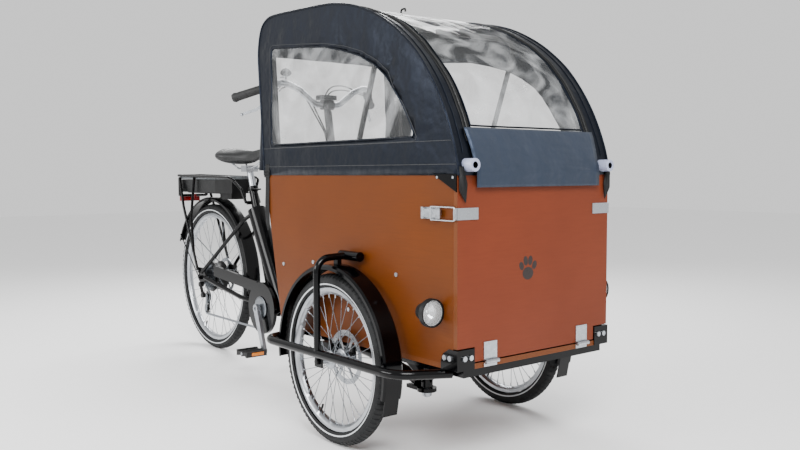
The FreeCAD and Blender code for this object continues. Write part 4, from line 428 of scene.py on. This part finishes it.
def tube_mesh(bm, points, radius, closed=False, sides=2):
    """Adds a round tube along the points to a bmesh."""
    curve = bpy.data.curves.new("tube", "CURVE")
    curve.dimensions = "3D"
    spline = curve.splines.new("POLY")
    spline.points.add(len(points) - 1)
    for point, place in zip(spline.points, points):
        point.co = (*place, 1)
    spline.use_cyclic_u = closed
    curve.bevel_depth = radius / 1000
    curve.bevel_resolution = sides
    curve.use_fill_caps = not closed
    source = bpy.data.objects.new("tube", curve)
    mesh = bpy.data.meshes.new_from_object(source)
    bm.from_mesh(mesh)
    bpy.data.meshes.remove(mesh)
    bpy.data.objects.remove(source)


# %% [markdown]
# ### The cut of the hood
# The outline runs from the rear foot over the crown to the front foot. The side window follows it about
# a hand's width inside, with rounded corners.

# %% Outline, windows and how the cloth sags
HALF = 1000 * half_box
FOOT = 784
HOOD = [(-496, FOOT), (-511, 971), (-526, 1150), (-528, 1184), (-524, 1217), (-516, 1250), (-500, 1281), (-470, 1298),
        (-435, 1306), (-290, 1301), (-150, 1295), (-87, 1291), (-25, 1281), (36, 1266), (96, 1245), (153, 1218),
        (208, 1187), (259, 1150), (307, 1109), (337, 1075), (365, 1039), (390, 1002), (413, 962), (432, 922),
        (449, 879), (463, 836), (473, FOOT)]
ROOF_HALF, ROOF_BACK, ROOF_FOOT = 220, -112, 906
REAR_HALF, REAR_LOW, REAR_HIGH = 235, 888, 1190
CELL = 28
CANVAS_THICK = 0.0012
SIDE_WINDOW = [(-443, 902), (-431, 1178), (-429, 1191), (-416, 1197), (-378, 1193), (-250, 1181), (-121, 1168),
               (-30, 1147), (58, 1122), (122, 1092), (174, 1058), (210, 1026), (240, 991), (272, 944), (299, 898),
               (298, 889), (288, 886), (-430, 885), (-440, 889)]
outline = smooth_line([at(x, -HALF, z) for x, z in HOOD])


def beside_outline(place):
    """How far a place is from the outline in side view, in metres."""
    best = 1.0
    for a, b in zip(outline, outline[1:]):
        run = Vector((b.x - a.x, b.z - a.z))
        rise = Vector((place.x - a.x, place.z - a.z))
        along = max(0.0, min(1.0, rise.dot(run) / run.length_squared))
        best = min(best, (rise - along * run).length)
    return best


def drape(place):
    """Where a place on the taut cover goes when the cloth hangs between its hoops."""
    mm = 1000 * (place - at(0, 0, 0))
    ripple = 0.9 * noise.noise(mm / 120) + 0.45 * noise.noise(mm / 47 + Vector((7, 3, 1)))
    held = min(1.0, max(0.0, (mm.z - FOOT) / 60))
    if abs(mm.y) > HALF - 1:
        loose = held * min(1.0, beside_outline(place) / 0.07)
        over_edge = 0.0016 * min(1.0, max(0.0, (812 - mm.z) / 14))
        return place + Vector((0, math.copysign((0.006 * ripple - 0.002) * loose + over_edge, mm.y), 0))
    loose = held * min(1.0, (HALF - abs(mm.y)) / 70)
    outward = Vector((mm.x + 60, 0, mm.z - 830)).normalized()
    return place + outward * (0.0055 * ripple - 0.0035) * loose


outline_length = sum((b - a).length for a, b in zip(outline, outline[1:]))
print("outline of", len(outline), "places,", round(outline_length, 3), "m long")

# %% [markdown]
# ### Sewing the shell
# The strip and the side panels share the outline's vertices, so the hood is one connected sheet. Bisecting
# it with planes at the window edges gives those edges clean cuts, and more planes every 28 mm give the
# cloth cells that it can sag by.

# %% The whole shell, windows included
shell = bmesh.new()
arch_verts = [shell.verts.new(place) for place in outline]
arch = [shell.edges.new(pair) for pair in zip(arch_verts, arch_verts[1:])]
bmesh.ops.spin(shell, geom=arch, cent=(0, 0, 0), axis=(0, 1, 0), dvec=(0, 2 * half_box / 12, 0), angle=0, steps=12)
bmesh.ops.remove_doubles(shell, verts=shell.verts, dist=1e-6)
for side in (-1, 1):
    seam = [e for e in shell.edges if all(abs(v.co.y - side * half_box) < 1e-5 for v in e.verts)]
    on_seam = {v for e in seam for v in e.verts}
    feet = sorted((v for v in on_seam if v.co.z < (FOOT + 0.5) / 1000), key=lambda v: v.co.x)
    hem = shell.edges.new((feet[0], feet[-1]))
    corners = [shell.verts.new(at(x, side * HALF, z)) for x, z in SIDE_WINDOW]
    window = [shell.edges.new(pair) for pair in zip(corners, corners[1:] + corners[:1])]
    bmesh.ops.triangle_fill(shell, edges=seam + [hem] + window, use_beauty=True)
    pane = bmesh.ops.triangle_fill(shell, edges=window, use_beauty=True)
    for face in (f for f in pane["geom"] if isinstance(f, bmesh.types.BMFace)):
        face.material_index = 1


def slice_at(place, direction):
    geometry = shell.verts[:] + shell.edges[:] + shell.faces[:]
    bmesh.ops.bisect_plane(shell, geom=geometry, dist=1e-5, plane_co=place, plane_no=direction)


X_WAY, Y_WAY, Z_WAY = Vector((1, 0, 0)), Vector((0, 1, 0)), Vector((0, 0, 1))
for y in (-REAR_HALF, -ROOF_HALF, ROOF_HALF, REAR_HALF):
    slice_at(at(0, y, 0), Y_WAY)
for z in (REAR_LOW, ROOF_FOOT, REAR_HIGH):
    slice_at(at(0, 0, z), Z_WAY)
slice_at(at(ROOF_BACK, 0, 0), X_WAY)
for step in range(35):
    slice_at(at(-500 + CELL * step, 0, 0), X_WAY)
for step in range(18):
    slice_at(at(0, 0, 806 + CELL * step), Z_WAY)
for step in range(20):
    slice_at(at(0, -266 + CELL * step, 0), Y_WAY)
for face in shell.faces:
    mm = 1000 * (face.calc_center_median() - at(0, 0, 0))
    if abs(mm.y) < ROOF_HALF and mm.x > ROOF_BACK and mm.z > ROOF_FOOT:
        face.material_index = 1
    if abs(mm.y) < REAR_HALF and REAR_LOW < mm.z < REAR_HIGH and mm.x < -490:
        face.material_index = 1
bmesh.ops.recalc_face_normals(shell, faces=shell.faces)
top_face = max(shell.faces, key=lambda f: f.calc_center_median().z)
if top_face.normal.z < 0:
    bmesh.ops.reverse_faces(shell, faces=shell.faces)
for vert in shell.verts:
    vert.co = drape(vert.co)
print(len(shell.faces), "cells in the hood")

# %% [markdown]
# ### Canvas and clear sheet
# The shell is parted by finish. The canvas gets its 1.2 mm of thickness inwards from a Solidify modifier.
# The clear sheet stays a single skin, because two skins would each add their own veil of glare. The rear
# hoop stands in two tapered pockets, which are sewn on outside the rear face.

# %% Hood canvas and windows
def part_of_shell(index):
    copy = shell.copy()
    bmesh.ops.delete(copy, geom=[f for f in copy.faces if f.material_index != index], context="FACES")
    for face in copy.faces:
        face.material_index = 0
    return copy


canvas_bm, panes_bm = part_of_shell(0), part_of_shell(1)
for side in (-1, 1):
    foot, head = at(-531, side * (HALF - 28), 800), at(-519, side * (HALF - 28), 1180)
    upright = (head - foot).to_track_quat("Z", "Y").to_matrix().to_4x4()
    bmesh.ops.create_cone(canvas_bm, segments=32, radius1=0.026, radius2=0.013, depth=(head - foot).length,
                          cap_ends=False, matrix=Matrix.Translation((foot + head) / 2) @ upright)
canvas_area = sum(f.calc_area() for f in canvas_bm.faces)
panes_area = sum(f.calc_area() for f in panes_bm.faces)
CLOTH_SMOOTH = math.radians(50)
hood_canvas = piece("hood_canvas", canvas_bm, "front_frame", canvas, slot="canopy_grey", smooth=CLOTH_SMOOTH)
thick = hood_canvas.modifiers.new("cloth_thickness", "SOLIDIFY")
thick.thickness, thick.offset = CANVAS_THICK, -1.0
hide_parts("canopy_fabric")
hood_panes = piece("hood_clear_panes", panes_bm, "front_frame", clear_sheet, slot="clear_sheet", smooth=CLOTH_SMOOTH)
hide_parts("canopy_windows")
print("canvas", round(canvas_area, 3), "m2, clear sheet", round(panes_area, 3), "m2")

# %% [markdown]
# ### Piping, bindings and zips
# Every seam stands proud of the cloth. A cord is sewn into the seam between side and strip, and each
# window has a folded binding and a line of top stitching. Two zips run along the strip, so that the roof
# can be rolled back. They are tubes along the same outline and windows, lifted just clear of the cloth.

# %% Seams and bindings
def along_strip(y, lift, start, end):
    """Places on the strip at one distance from the middle, for a part of the outline, lifted off the cloth."""
    line = []
    for place in outline[start:end]:
        mm = 1000 * (place - at(0, 0, 0))
        outward = Vector((mm.x + 60, 0, mm.z - 830)).normalized()
        line.append(drape(Vector((place.x, y / 1000, place.z))) + outward * lift / 1000)
    return line


def grown(points, offset):
    """A flat outline pushed out from its own middle."""
    mid_x = sum(x for x, z in points) / len(points)
    mid_z = sum(z for x, z in points) / len(points)
    return [(x + math.copysign(offset, x - mid_x), z + math.copysign(offset, z - mid_z)) for x, z in points]


def finely(points, spacing=0.014):
    """More places along straight runs, so that a seam can follow the sag of the cloth."""
    line = []
    for a, b in zip(points, points[1:]):
        count = max(1, round((b - a).length / spacing))
        line += [a.lerp(b, step / count) for step in range(count)]
    return line + [points[-1]]


piping, binding_bm, stitch_bm = bmesh.new(), bmesh.new(), bmesh.new()
roof_end = next(n for n, place in enumerate(outline) if n > 40 and place.z < at(0, 0, ROOF_FOOT).z)
roof_start = next(n for n, place in enumerate(outline) if place.x > at(ROOF_BACK, 0, 0).x)
for side in (-1, 1):
    tube_mesh(piping, [Vector((p.x, side * (half_box - 0.0005), p.z)) for p in outline], 3.6)
    tube_mesh(binding_bm, along_strip(side * (HALF - 24), 0.3, 4, len(outline) - 2), 1.9)
    for grow, radius, target in ((1, 2.6, binding_bm), (12, 0.9, stitch_bm)):
        loop = [at(x, side * HALF, z) for x, z in grown(SIDE_WINDOW, grow)]
        loop = [drape(p) + Vector((0, side * 0.0004, 0)) for p in finely(loop + loop[:1])[:-1]]
        tube_mesh(target, loop, radius, closed=True)
    for z, radius in ((872, 1.1), (812, 1.1)):
        hem = finely([at(-496, side * HALF, z), at(462 if z < 830 else 445, side * HALF, z)])
        tube_mesh(stitch_bm, [drape(p) + Vector((0, side * 0.0003, 0)) for p in hem], radius)
    tube_mesh(binding_bm, along_strip(side * (ROOF_HALF + 1), 0.6, roof_start, roof_end), 2.4)
    tube_mesh(stitch_bm, along_strip(side * (ROOF_HALF + 11), 0.4, roof_start, roof_end), 0.9)
for start in (roof_start, roof_end - 1):
    ends = [Vector((outline[start].x, y, outline[start].z)) for y in (-0.221, 0.221)]
    across = finely(ends)
    tube_mesh(binding_bm, [drape(p) + Vector((0.0004, 0, 0.0004)) for p in across], 2.4)
REAR_WINDOW = ((-REAR_HALF, REAR_LOW), (-REAR_HALF, REAR_HIGH), (REAR_HALF, REAR_HIGH), (REAR_HALF, REAR_LOW),
               (-REAR_HALF, REAR_LOW))
rear_loop = [at(-496 - 30 * (z - FOOT) / 358, y, z) for y, z in REAR_WINDOW]
rear_loop[1].x = rear_loop[2].x = at(-528, 0, 0).x
tube_mesh(binding_bm, [drape(p) - Vector((0.0006, 0, 0)) for p in finely(rear_loop)[:-1]], 2.4, closed=True)
for name, bm, finish in (("hood_piping", piping, canvas), ("hood_bindings", binding_bm, canvas),
                         ("hood_stitching", stitch_bm, thread)):
    piece(name, bm, "front_frame", finish, slot="canopy_grey")

# %% Zips along the strip
zip_tape, zip_chain = bmesh.new(), bmesh.new()
for side in (-1, 1):
    line = along_strip(side * (HALF - 57), 0.8, 22, len(outline) - 4)
    verts = [zip_tape.verts.new(p - Vector((0, 0.011, 0))) for p in line]
    edges = [zip_tape.edges.new(pair) for pair in zip(verts, verts[1:])]
    bmesh.ops.spin(zip_tape, geom=edges, cent=(0, 0, 0), axis=(0, 1, 0), dvec=(0, 0.0055, 0), angle=0, steps=4)
    tube_mesh(zip_chain, [p + (p - at(-60, 1000 * p.y, 830)).normalized() * 0.0015 for p in line], 2.2)
bmesh.ops.remove_doubles(zip_tape, verts=zip_tape.verts, dist=1e-6)
bmesh.ops.recalc_face_normals(zip_tape, faces=zip_tape.faces)
tape = piece("zip_tapes", zip_tape, "front_frame", binding, slot="canopy_grey")
tape_thick = tape.modifiers.new("tape_thickness", "SOLIDIFY")
tape_thick.thickness, tape_thick.offset = 0.0008, 1.0
piece("zip_chains", zip_chain, "front_frame", zip_teeth, slot="canopy_grey")

# %% [markdown]
# ### The door flap and corner tails
# Below the roof's window the strip carries on as a loose flap over the door's upper edge. It hangs on
# three millimetres of air and bellies out a little in the middle. A bound tail hangs at each corner. When
# the door is let down the flap crumples upwards.

# %% Front flap
flap = bmesh.new()
FLAP_FALL = ((441, 906), (449, 888), (458, 862), (468, 828), (476, 800), (477.5, 775), (477, 753))
fall = smooth_line([at(x, -252, z) for x, z in FLAP_FALL], 5)
verts = [flap.verts.new(place) for place in fall]
edges = [flap.edges.new(pair) for pair in zip(verts, verts[1:])]
bmesh.ops.spin(flap, geom=edges, cent=(0, 0, 0), axis=(0, 1, 0), dvec=(0, 0.018, 0), angle=0, steps=28)
bmesh.ops.remove_doubles(flap, verts=flap.verts, dist=1e-6)
for vert in flap.verts:
    hang = min(1.0, max(0.0, (0.9 - vert.co.z) / 0.12))
    mm = 1000 * vert.co
    belly = (1.0 + 1.6 * noise.noise(Vector((mm.x, mm.y / 75, mm.z / 90)))
             + 0.8 * noise.noise(Vector((3, mm.y / 33, mm.z / 60))))
    vert.co.x += 0.0021 * hang * max(0.0, belly) + 0.0008
    vert.co.y *= 1.0 - 0.05 * hang
bmesh.ops.recalc_face_normals(flap, faces=flap.faces)
flap_area = sum(f.calc_area() for f in flap.faces)
# The flap wears the copy of the canvas that is painted lighter, as if lit from the front.
front_flap = piece("front_flap", flap, "front_frame", flap_canvas_painted_lit, slot="canopy_grey")
flap_thick = front_flap.modifiers.new("cloth_thickness", "SOLIDIFY")
flap_thick.thickness, flap_thick.offset = 0.0016, 0.0
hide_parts("canopy_front_flap")
print("flap", round(flap_area, 3), "m2")

# %% Corner tails
tails = bmesh.new()
for side in (-1, 1):
    shape = [(296, 806), (296, 748), (292, 740), (274, 715), (269, 762), (282, 806)]
    corners = [tails.verts.new(at(474.6, side * y, z)) for y, z in shape]
    face = tails.faces.new(corners)
    tails.normal_update()
    if face.normal.x < 0:
        face.normal_flip()
bmesh.ops.subdivide_edges(tails, edges=tails.edges[:], cuts=2, use_grid_fill=True)
tail_area = sum(f.calc_area() for f in tails.faces)
corner_tails = piece("corner_tails", tails, "front_frame", binding, slot="canopy_grey")
tail_thick = corner_tails.modifiers.new("tail_thickness", "SOLIDIFY")
tail_thick.thickness, tail_thick.offset = 0.0022, 0.0

# %% [markdown]
# ### The rear straps
# A strap of ribbed webbing hangs from each rear corner of the hood, is fed through a ladder buckle, and
# ends in a loose point. The webbing is 25 mm wide and bows out a little below the buckle.

# %% Webbing and buckles
STRAP_X = -473.5
STRAP_FALL = ((0.6, 821), (0.8, 806), (2.6, 800), (3.4, 789), (2.6, 778), (1.2, 770), (2.4, 730), (4.6, 690),
              (3.8, 650), (1.6, 615), (1.2, 600))
BUCKLE_BARS = ((STRAP_X - 15.5, 789, 3.5, 24), (STRAP_X + 15.5, 789, 3.5, 24), (STRAP_X, 799.2, 31, 3.5),
               (STRAP_X, 789, 31, 3.5), (STRAP_X, 778.8, 31, 3.5))
straps, buckles = bmesh.new(), bmesh.new()
for side in (-1, 1):
    path = smooth_line([at(STRAP_X, side * (HALF + out), z) for out, z in STRAP_FALL], 4)
    across = [straps.verts.new(p - Vector((0.0125, 0, 0))) for p in path]
    edges = [straps.edges.new(pair) for pair in zip(across, across[1:])]
    bmesh.ops.spin(straps, geom=edges, cent=(0, 0, 0), axis=(0, 1, 0), dvec=(0.005, 0, 0), angle=0, steps=5)
    for x, z, wide, high in BUCKLE_BARS:
        lift = 5.2 if z == 789 and wide == 31 else 3.2
        size = Matrix.Diagonal((wide / 1000, 0.0035, high / 1000, 1))
        bmesh.ops.create_cube(buckles, size=1, matrix=Matrix.Translation(at(x, side * (HALF + lift), z)) @ size)
bmesh.ops.remove_doubles(straps, verts=straps.verts, dist=1e-6)
for vert in straps.verts:
    low = max(0.0, (FOOT - 160 - 1000 * vert.co.z) / 24)
    middle_x = at(STRAP_X, 0, 0).x
    vert.co.x = middle_x + (vert.co.x - middle_x) * (1.0 - 0.75 * min(1.0, low))
bmesh.ops.recalc_face_normals(straps, faces=straps.faces)
strap_area = sum(f.calc_area() for f in straps.faces)
bmesh.ops.bevel(buckles, geom=buckles.edges[:], offset=0.0007, offset_type="OFFSET", segments=2, profile=0.5,
                affect="EDGES", material=-1)
rear_straps = piece("rear_straps", straps, "front_frame", binding, slot="canopy_grey", smooth=math.radians(60))
webbing = rear_straps.modifiers.new("webbing_thickness", "SOLIDIFY")
webbing.thickness, webbing.offset = 0.0013, 0.0
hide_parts("canopy_straps")
piece("strap_buckles", buckles, "front_frame", moulded, slot="canopy_grey")

# %% Giving the flap and tails meshes of their own
for soft in (front_flap, corner_tails):
    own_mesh(soft)

# %% [markdown]
# ## Wheels
# The tyres are balloon city tyres: a round carcass with low blocks on the tread and a reflecting band on
# each wall. A circle is stood up in the plane of the axle, cut off at the bead, and spun round the axle.
# Every second row of cells on the tread is then inset and raised into a bar, half a step apart on the
# two halves of the tyre, with a gutter between them.

# %% Tyres
TREAD_STEPS = 180


def tyre(name, node, centre, outer, bead, band, body):
    bm = bmesh.new()
    bmesh.ops.create_circle(bm, segments=36, radius=0.0226)
    bmesh.ops.rotate(bm, verts=bm.verts, cent=(0, 0, 0), matrix=Matrix.Rotation(math.pi / 2, 3, "Y"))
    bmesh.ops.translate(bm, verts=bm.verts, vec=centre + Vector((0, 0, outer - 0.0244)))
    bmesh.ops.bisect_plane(bm, geom=bm.verts[:] + bm.edges[:], dist=1e-6, plane_co=centre + Vector((0, 0, bead)),
                           plane_no=(0, 0, -1), clear_outer=True)
    bmesh.ops.spin(bm, geom=bm.verts[:] + bm.edges[:], cent=centre, axis=(0, 1, 0), dvec=(0, 0, 0),
                   angle=2 * math.pi, steps=TREAD_STEPS, use_merge=True)
    bmesh.ops.remove_doubles(bm, verts=bm.verts, dist=1e-6)
    bmesh.ops.recalc_face_normals(bm, faces=bm.faces)
    tread = []
    for face in bm.faces:
        out = face.calc_center_median() - centre
        half = 1 if out.y > 0 else 0
        gutter = abs(out.y) < 0.0018
        out.y = 0
        place = math.floor((math.atan2(out.x, out.z) + math.pi) / (2 * math.pi / TREAD_STEPS))
        if out.length > outer - 0.0125:
            if not gutter and (place + half) % 2:
                tread.append(face)
        elif abs(out.length - band) < 0.0019:
            face.material_index = 1
    if sum(f.normal.dot(f.calc_center_median() - centre) for f in tread) < 0:
        bmesh.ops.reverse_faces(bm, faces=bm.faces)
    bmesh.ops.inset_region(bm, faces=tread, thickness=0.0009, depth=0.0016, use_even_offset=True)
    made = piece(name, bm, body, tyre_rubber, reflective, slot="tyre_rubber", smooth=math.radians(28))
    wall = made.modifiers.new("carcass", "SOLIDIFY")
    wall.thickness, wall.offset = 0.0025, -1.0
    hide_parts(node)
    return made


wheel_y = 1000 * (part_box("front_right_tyre")[0].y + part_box("front_right_tyre")[1].y) / 2
FRONT_RIGHT, FRONT_LEFT = at(0, wheel_y, 250), at(0, -wheel_y, 250)
REAR = at(-1474, 0, 326.5)
for word, centre in (("right", FRONT_RIGHT), ("left", FRONT_LEFT)):
    tyre(f"front_{word}_balloon_tyre", f"front_{word}_tyre", centre, 0.25, 0.2105, 0.221, f"front_wheel_{word}")
tyre("rear_balloon_tyre", "rear_tyre", REAR, 0.3265, 0.2865, 0.2985, "rear_wheel")

# %% [markdown]
# ### Rims, spokes and hubs
# A wheel is built from a polished rim, drawn wires, a hub and a brake disc, and each has its own finish.
# The designed wheel already has their shapes, so a merged copy of its mesh is used, and every face takes
# its finish from how far it lies from the axle. Brass nipples, plated white, join each wire to the rim.

# %% Finishes by distance from the axle
def laced_wheel(name, node, centre, rim_inside, hub_outside, disc_y, hub_finish, body):
    bm = bmesh.new()
    bm.from_mesh(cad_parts[node].data)
    bmesh.ops.remove_doubles(bm, verts=bm.verts, dist=1e-6)
    for face in bm.faces:
        place = face.calc_center_median() - centre
        radius = math.hypot(place.x, place.z)
        if radius > rim_inside:
            face.material_index = 0
        elif abs(place.y - disc_y) < 0.0016 and radius < 0.081:
            face.material_index = 3
        else:
            face.material_index = 2 if radius < hub_outside else 1
    for n in range(36):
        way = Matrix.Rotation(math.radians(10 * n), 3, "Y") @ Vector((0, 0, 1))
        turn = way.to_track_quat("Z", "Y").to_matrix().to_4x4()
        bmesh.ops.create_cone(bm, segments=8, radius1=0.0017, radius2=0.0024, depth=0.012, cap_ends=True,
                              matrix=Matrix.Translation(centre + way * (rim_inside - 0.004)) @ turn)
    made = piece(name, bm, body, polished, steel, hub_finish, disc_steel, slot="wheel_alloy", smooth=math.radians(30))
    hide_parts(node)


disc_steel = surface("ground_stainless_disc", "#b4b7bb", "#94989d", 9, (0.24, 0.36), 0.9, 0.02,
                     **{"Metallic": 1.0, "Anisotropic": 0.4})["finish"]
for word, centre, disc_y in (("right", FRONT_RIGHT, 0.036), ("left", FRONT_LEFT, -0.036)):
    laced_wheel(f"front_{word}_laced_wheel", f"front_{word}_wheel", centre, 0.1885, 0.0285, disc_y, cast,
                f"front_wheel_{word}")
laced_wheel("rear_laced_wheel", "rear_wheel", REAR, 0.2645, 0.0685, 0.051, satin_black, "rear_wheel")

# %% Valves
for name, centre, low, body in (("front_right_valve", FRONT_RIGHT, 0.168, "front_wheel_right"),
                                ("front_left_valve", FRONT_LEFT, 0.168, "front_wheel_left"),
                                ("rear_valve", REAR, 0.243, "rear_wheel")):
    bm = bmesh.new()
    way = Matrix.Rotation(math.radians(205), 3, "Y") @ Vector((0, 0, 1))
    turn = way.to_track_quat("Z", "Y").to_matrix().to_4x4()
    bmesh.ops.create_cone(bm, segments=16, radius1=0.0036, radius2=0.0036, depth=0.012, cap_ends=True,
                          matrix=Matrix.Translation(centre + way * (low + 0.004)) @ turn)
    bmesh.ops.create_cone(bm, segments=16, radius1=0.0028, radius2=0.003, depth=0.016, cap_ends=True,
                          matrix=Matrix.Translation(centre + way * (low + 0.016)) @ turn)
    piece(name, bm, body, moulded, slot="black_resin")

# %% [markdown]
# ## The saddle
# A comfort saddle is foam under leathercloth, pulled tight over a moulded base. It is the designed shape,
# remeshed into even cells, blown up a little by a cloth simulation with its underside held, and smoothed,
# so that its edges are round and its top is crowned. No point moves further than six millimetres.

# %% Saddle cushion
def even_cells(bm, size, name):
    """Remeshes a closed bmesh into cells of one size."""
    mesh = bpy.data.meshes.new(name)
    bm.to_mesh(mesh)
    bm.free()
    obj = bpy.data.objects.new(name, mesh)
    bpy.context.scene.collection.objects.link(obj)
    remesh = obj.modifiers.new("even_cells", "REMESH")
    remesh.mode, remesh.voxel_size = "VOXEL", size
    result = bpy.data.meshes.new_from_object(obj.evaluated_get(bpy.context.evaluated_depsgraph_get()))
    obj.modifiers.clear()
    obj.data = result
    return obj


def inflate(obj, held_below, pressure, cap):
    """Blows a closed skin up with its lowest part held, and lets no point move more than cap."""
    before = [v.co.copy() for v in obj.data.vertices]
    held = obj.vertex_groups.new(name="held")
    held.add([n for n, co in enumerate(before) if co.z < held_below], 1.0, "REPLACE")
    cloth = obj.modifiers.new("cloth", "CLOTH")
    cloth.settings.use_pressure = True
    cloth.settings.uniform_pressure_force = pressure
    cloth.settings.vertex_group_mass = "held"
    cloth.settings.effector_weights.gravity = 0
    scene = bpy.context.scene
    for step in range(1, 19):
        scene.frame_set(step)
    after = bpy.data.meshes.new_from_object(obj.evaluated_get(bpy.context.evaluated_depsgraph_get()))
    moved = [v.co - co for v, co in zip(after.vertices, before)]
    scene.frame_set(1)
    obj.modifiers.clear()
    obj.vertex_groups.clear()
    for vertex, co, shift in zip(obj.data.vertices, before, moved):
        vertex.co = co + shift * min(1.0, cap / max(shift.length, 1e-9))
    print(obj.name, "moved up to", round(1000 * min(cap, max(s.length for s in moved)), 1), "mm")


saddle_bm = bmesh.new()
saddle_bm.from_mesh(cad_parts["saddle"].data)
bmesh.ops.remove_doubles(saddle_bm, verts=saddle_bm.verts, dist=1e-6)
saddle_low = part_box("saddle")[0]
cushion = even_cells(saddle_bm, 0.0045, "saddle_cushion")
inflate(cushion, saddle_low.z + 0.012, 3.5, 0.006)
smoothed = bmesh.new()
smoothed.from_mesh(cushion.data)
for step in range(6):
    bmesh.ops.smooth_vert(smoothed, verts=smoothed.verts, factor=0.5, use_axis_x=True, use_axis_y=True,
                          use_axis_z=True)
for vert in smoothed.verts:
    middle = max(0.0, 1.0 - abs(vert.co.y) / 0.013)
    if vert.normal.z > 0.5:
        vert.co.z -= 0.0035 * middle * middle
bpy.data.objects.remove(cushion)
cushion = piece("saddle_cushion", smoothed, "saddle", leathercloth, slot="saddle_skin", smooth=math.radians(80))
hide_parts("saddle")

# %% [markdown]
# ## Small fittings
# Three small things catch the eye because they aren't black: pale sleeves on the ends of the hood's base
# rails, amber reflectors in the pedals, and the lamps' bright bowls. Each is a simple turned or bevelled
# shape.

# %% Rail sleeves
for side, word in ((-1, "right"), (1, "left")):
    bm = bmesh.new()
    turn = Matrix.Translation(at(469, side * 265, 809.8)) @ Matrix.Rotation(math.pi / 2, 4, "Y")
    bmesh.ops.create_cone(bm, segments=40, radius1=0.0168, radius2=0.0168, depth=0.063, cap_ends=False, matrix=turn)
    bmesh.ops.recalc_face_normals(bm, faces=bm.faces)
    sleeve = piece(f"rail_sleeve_{word}", bm, "front_frame", pale_sleeve, slot="canopy_tube")
    wall = sleeve.modifiers.new("wall", "SOLIDIFY")
    wall.thickness, wall.offset = 0.0084, -1.0
    edge = sleeve.modifiers.new("rounded_ends", "BEVEL")
    edge.width, edge.segments, edge.limit_method = 0.0012, 3, "ANGLE"

# %% Pedal reflectors
for word in ("right", "left"):
    low_corner, high_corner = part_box(f"{word}_pedal")
    middle = (low_corner + high_corner) / 2
    tread_y = middle.y + (0.004 if word == "right" else -0.004)
    bm = bmesh.new()
    for end in (low_corner.x + 0.0002, high_corner.x - 0.0002):
        place = Matrix.Translation((end, tread_y, middle.z)) @ Matrix.Diagonal((0.0036, 0.052, 0.013, 1))
        bmesh.ops.create_cube(bm, size=1, matrix=place)
    bmesh.ops.bevel(bm, geom=bm.edges[:], offset=0.001, offset_type="OFFSET", segments=2, profile=0.5,
                    affect="EDGES", material=-1)
    piece(f"pedal_reflectors_{word}", bm, f"pedal_{word}", amber, slot="black_resin")
print("sleeves and reflectors")

# %% Lamp bowls
BOWL = ((-0.006, 0.030), (-0.014, 0.024), (-0.022, 0.014), (-0.026, 0.0))
for side, word in ((-1, "right"), (1, "left")):
    mouth = at(409, side * (HALF + 38), 436)
    bm = bmesh.new()
    rim_vert = bm.verts.new(mouth + Vector((0, 0, 0.0325)))
    steps = [bm.verts.new(mouth + Vector((back, 0, out))) for back, out in BOWL]
    edges = [bm.edges.new(pair) for pair in zip([rim_vert] + steps, steps)]
    bmesh.ops.spin(bm, geom=bm.verts[:] + edges, cent=mouth, axis=(1, 0, 0), dvec=(0, 0, 0), angle=2 * math.pi,
                   steps=24, use_merge=True)
    bmesh.ops.remove_doubles(bm, verts=bm.verts, dist=1e-5)
    bmesh.ops.recalc_face_normals(bm, faces=bm.faces)
    if sum(f.normal.x for f in bm.faces) < 0:
        bmesh.ops.reverse_faces(bm, faces=bm.faces)
    bmesh.ops.create_uvsphere(bm, u_segments=16, v_segments=10, radius=0.006,
                              matrix=Matrix.Translation(mouth + Vector((-0.016, 0, 0))))
    piece(f"lamp_bowl_{word}", bm, "front_frame", chrome, slot="lamp_chrome", smooth=math.radians(12))

# %% [markdown]
# ### The printed paw
# A small paw in dark ink tells what the box is for. It is five flat ovals, a fifth of a millimetre proud
# of the door's film.

# %% Paw print
ink = surface("screen_print_ink_brown", "#150905", "#1f0e08", 25, (0.4, 0.55), 0.9, 0.02, IOR=1.5)["finish"]
PADS = ((0, 0, 21, 17, 0), (-25, 21, 8.5, 12, 24), (-9, 34, 8.5, 13, 8), (9, 34, 8.5, 13, -8), (25, 21, 8.5, 12, -24))
paw = bmesh.new()
for y, z, wide, high, turn in PADS:
    place = Matrix.Translation((door_front + 0.0002, (y - 40) / 1000, (520 + z) / 1000))
    spin = Matrix.Rotation(math.radians(turn), 4, "X") @ Matrix.Rotation(math.pi / 2, 4, "Y")
    bmesh.ops.create_circle(paw, cap_ends=True, segments=40, radius=1,
                            matrix=place @ spin @ Matrix.Diagonal((high / 1000, wide / 1000, 1, 1)))
paw.normal_update()
for face in paw.faces:
    if face.normal.x < 0:
        face.normal_flip()
piece("paw_print", paw, "door", ink, slot="birch_ply", smooth=None)
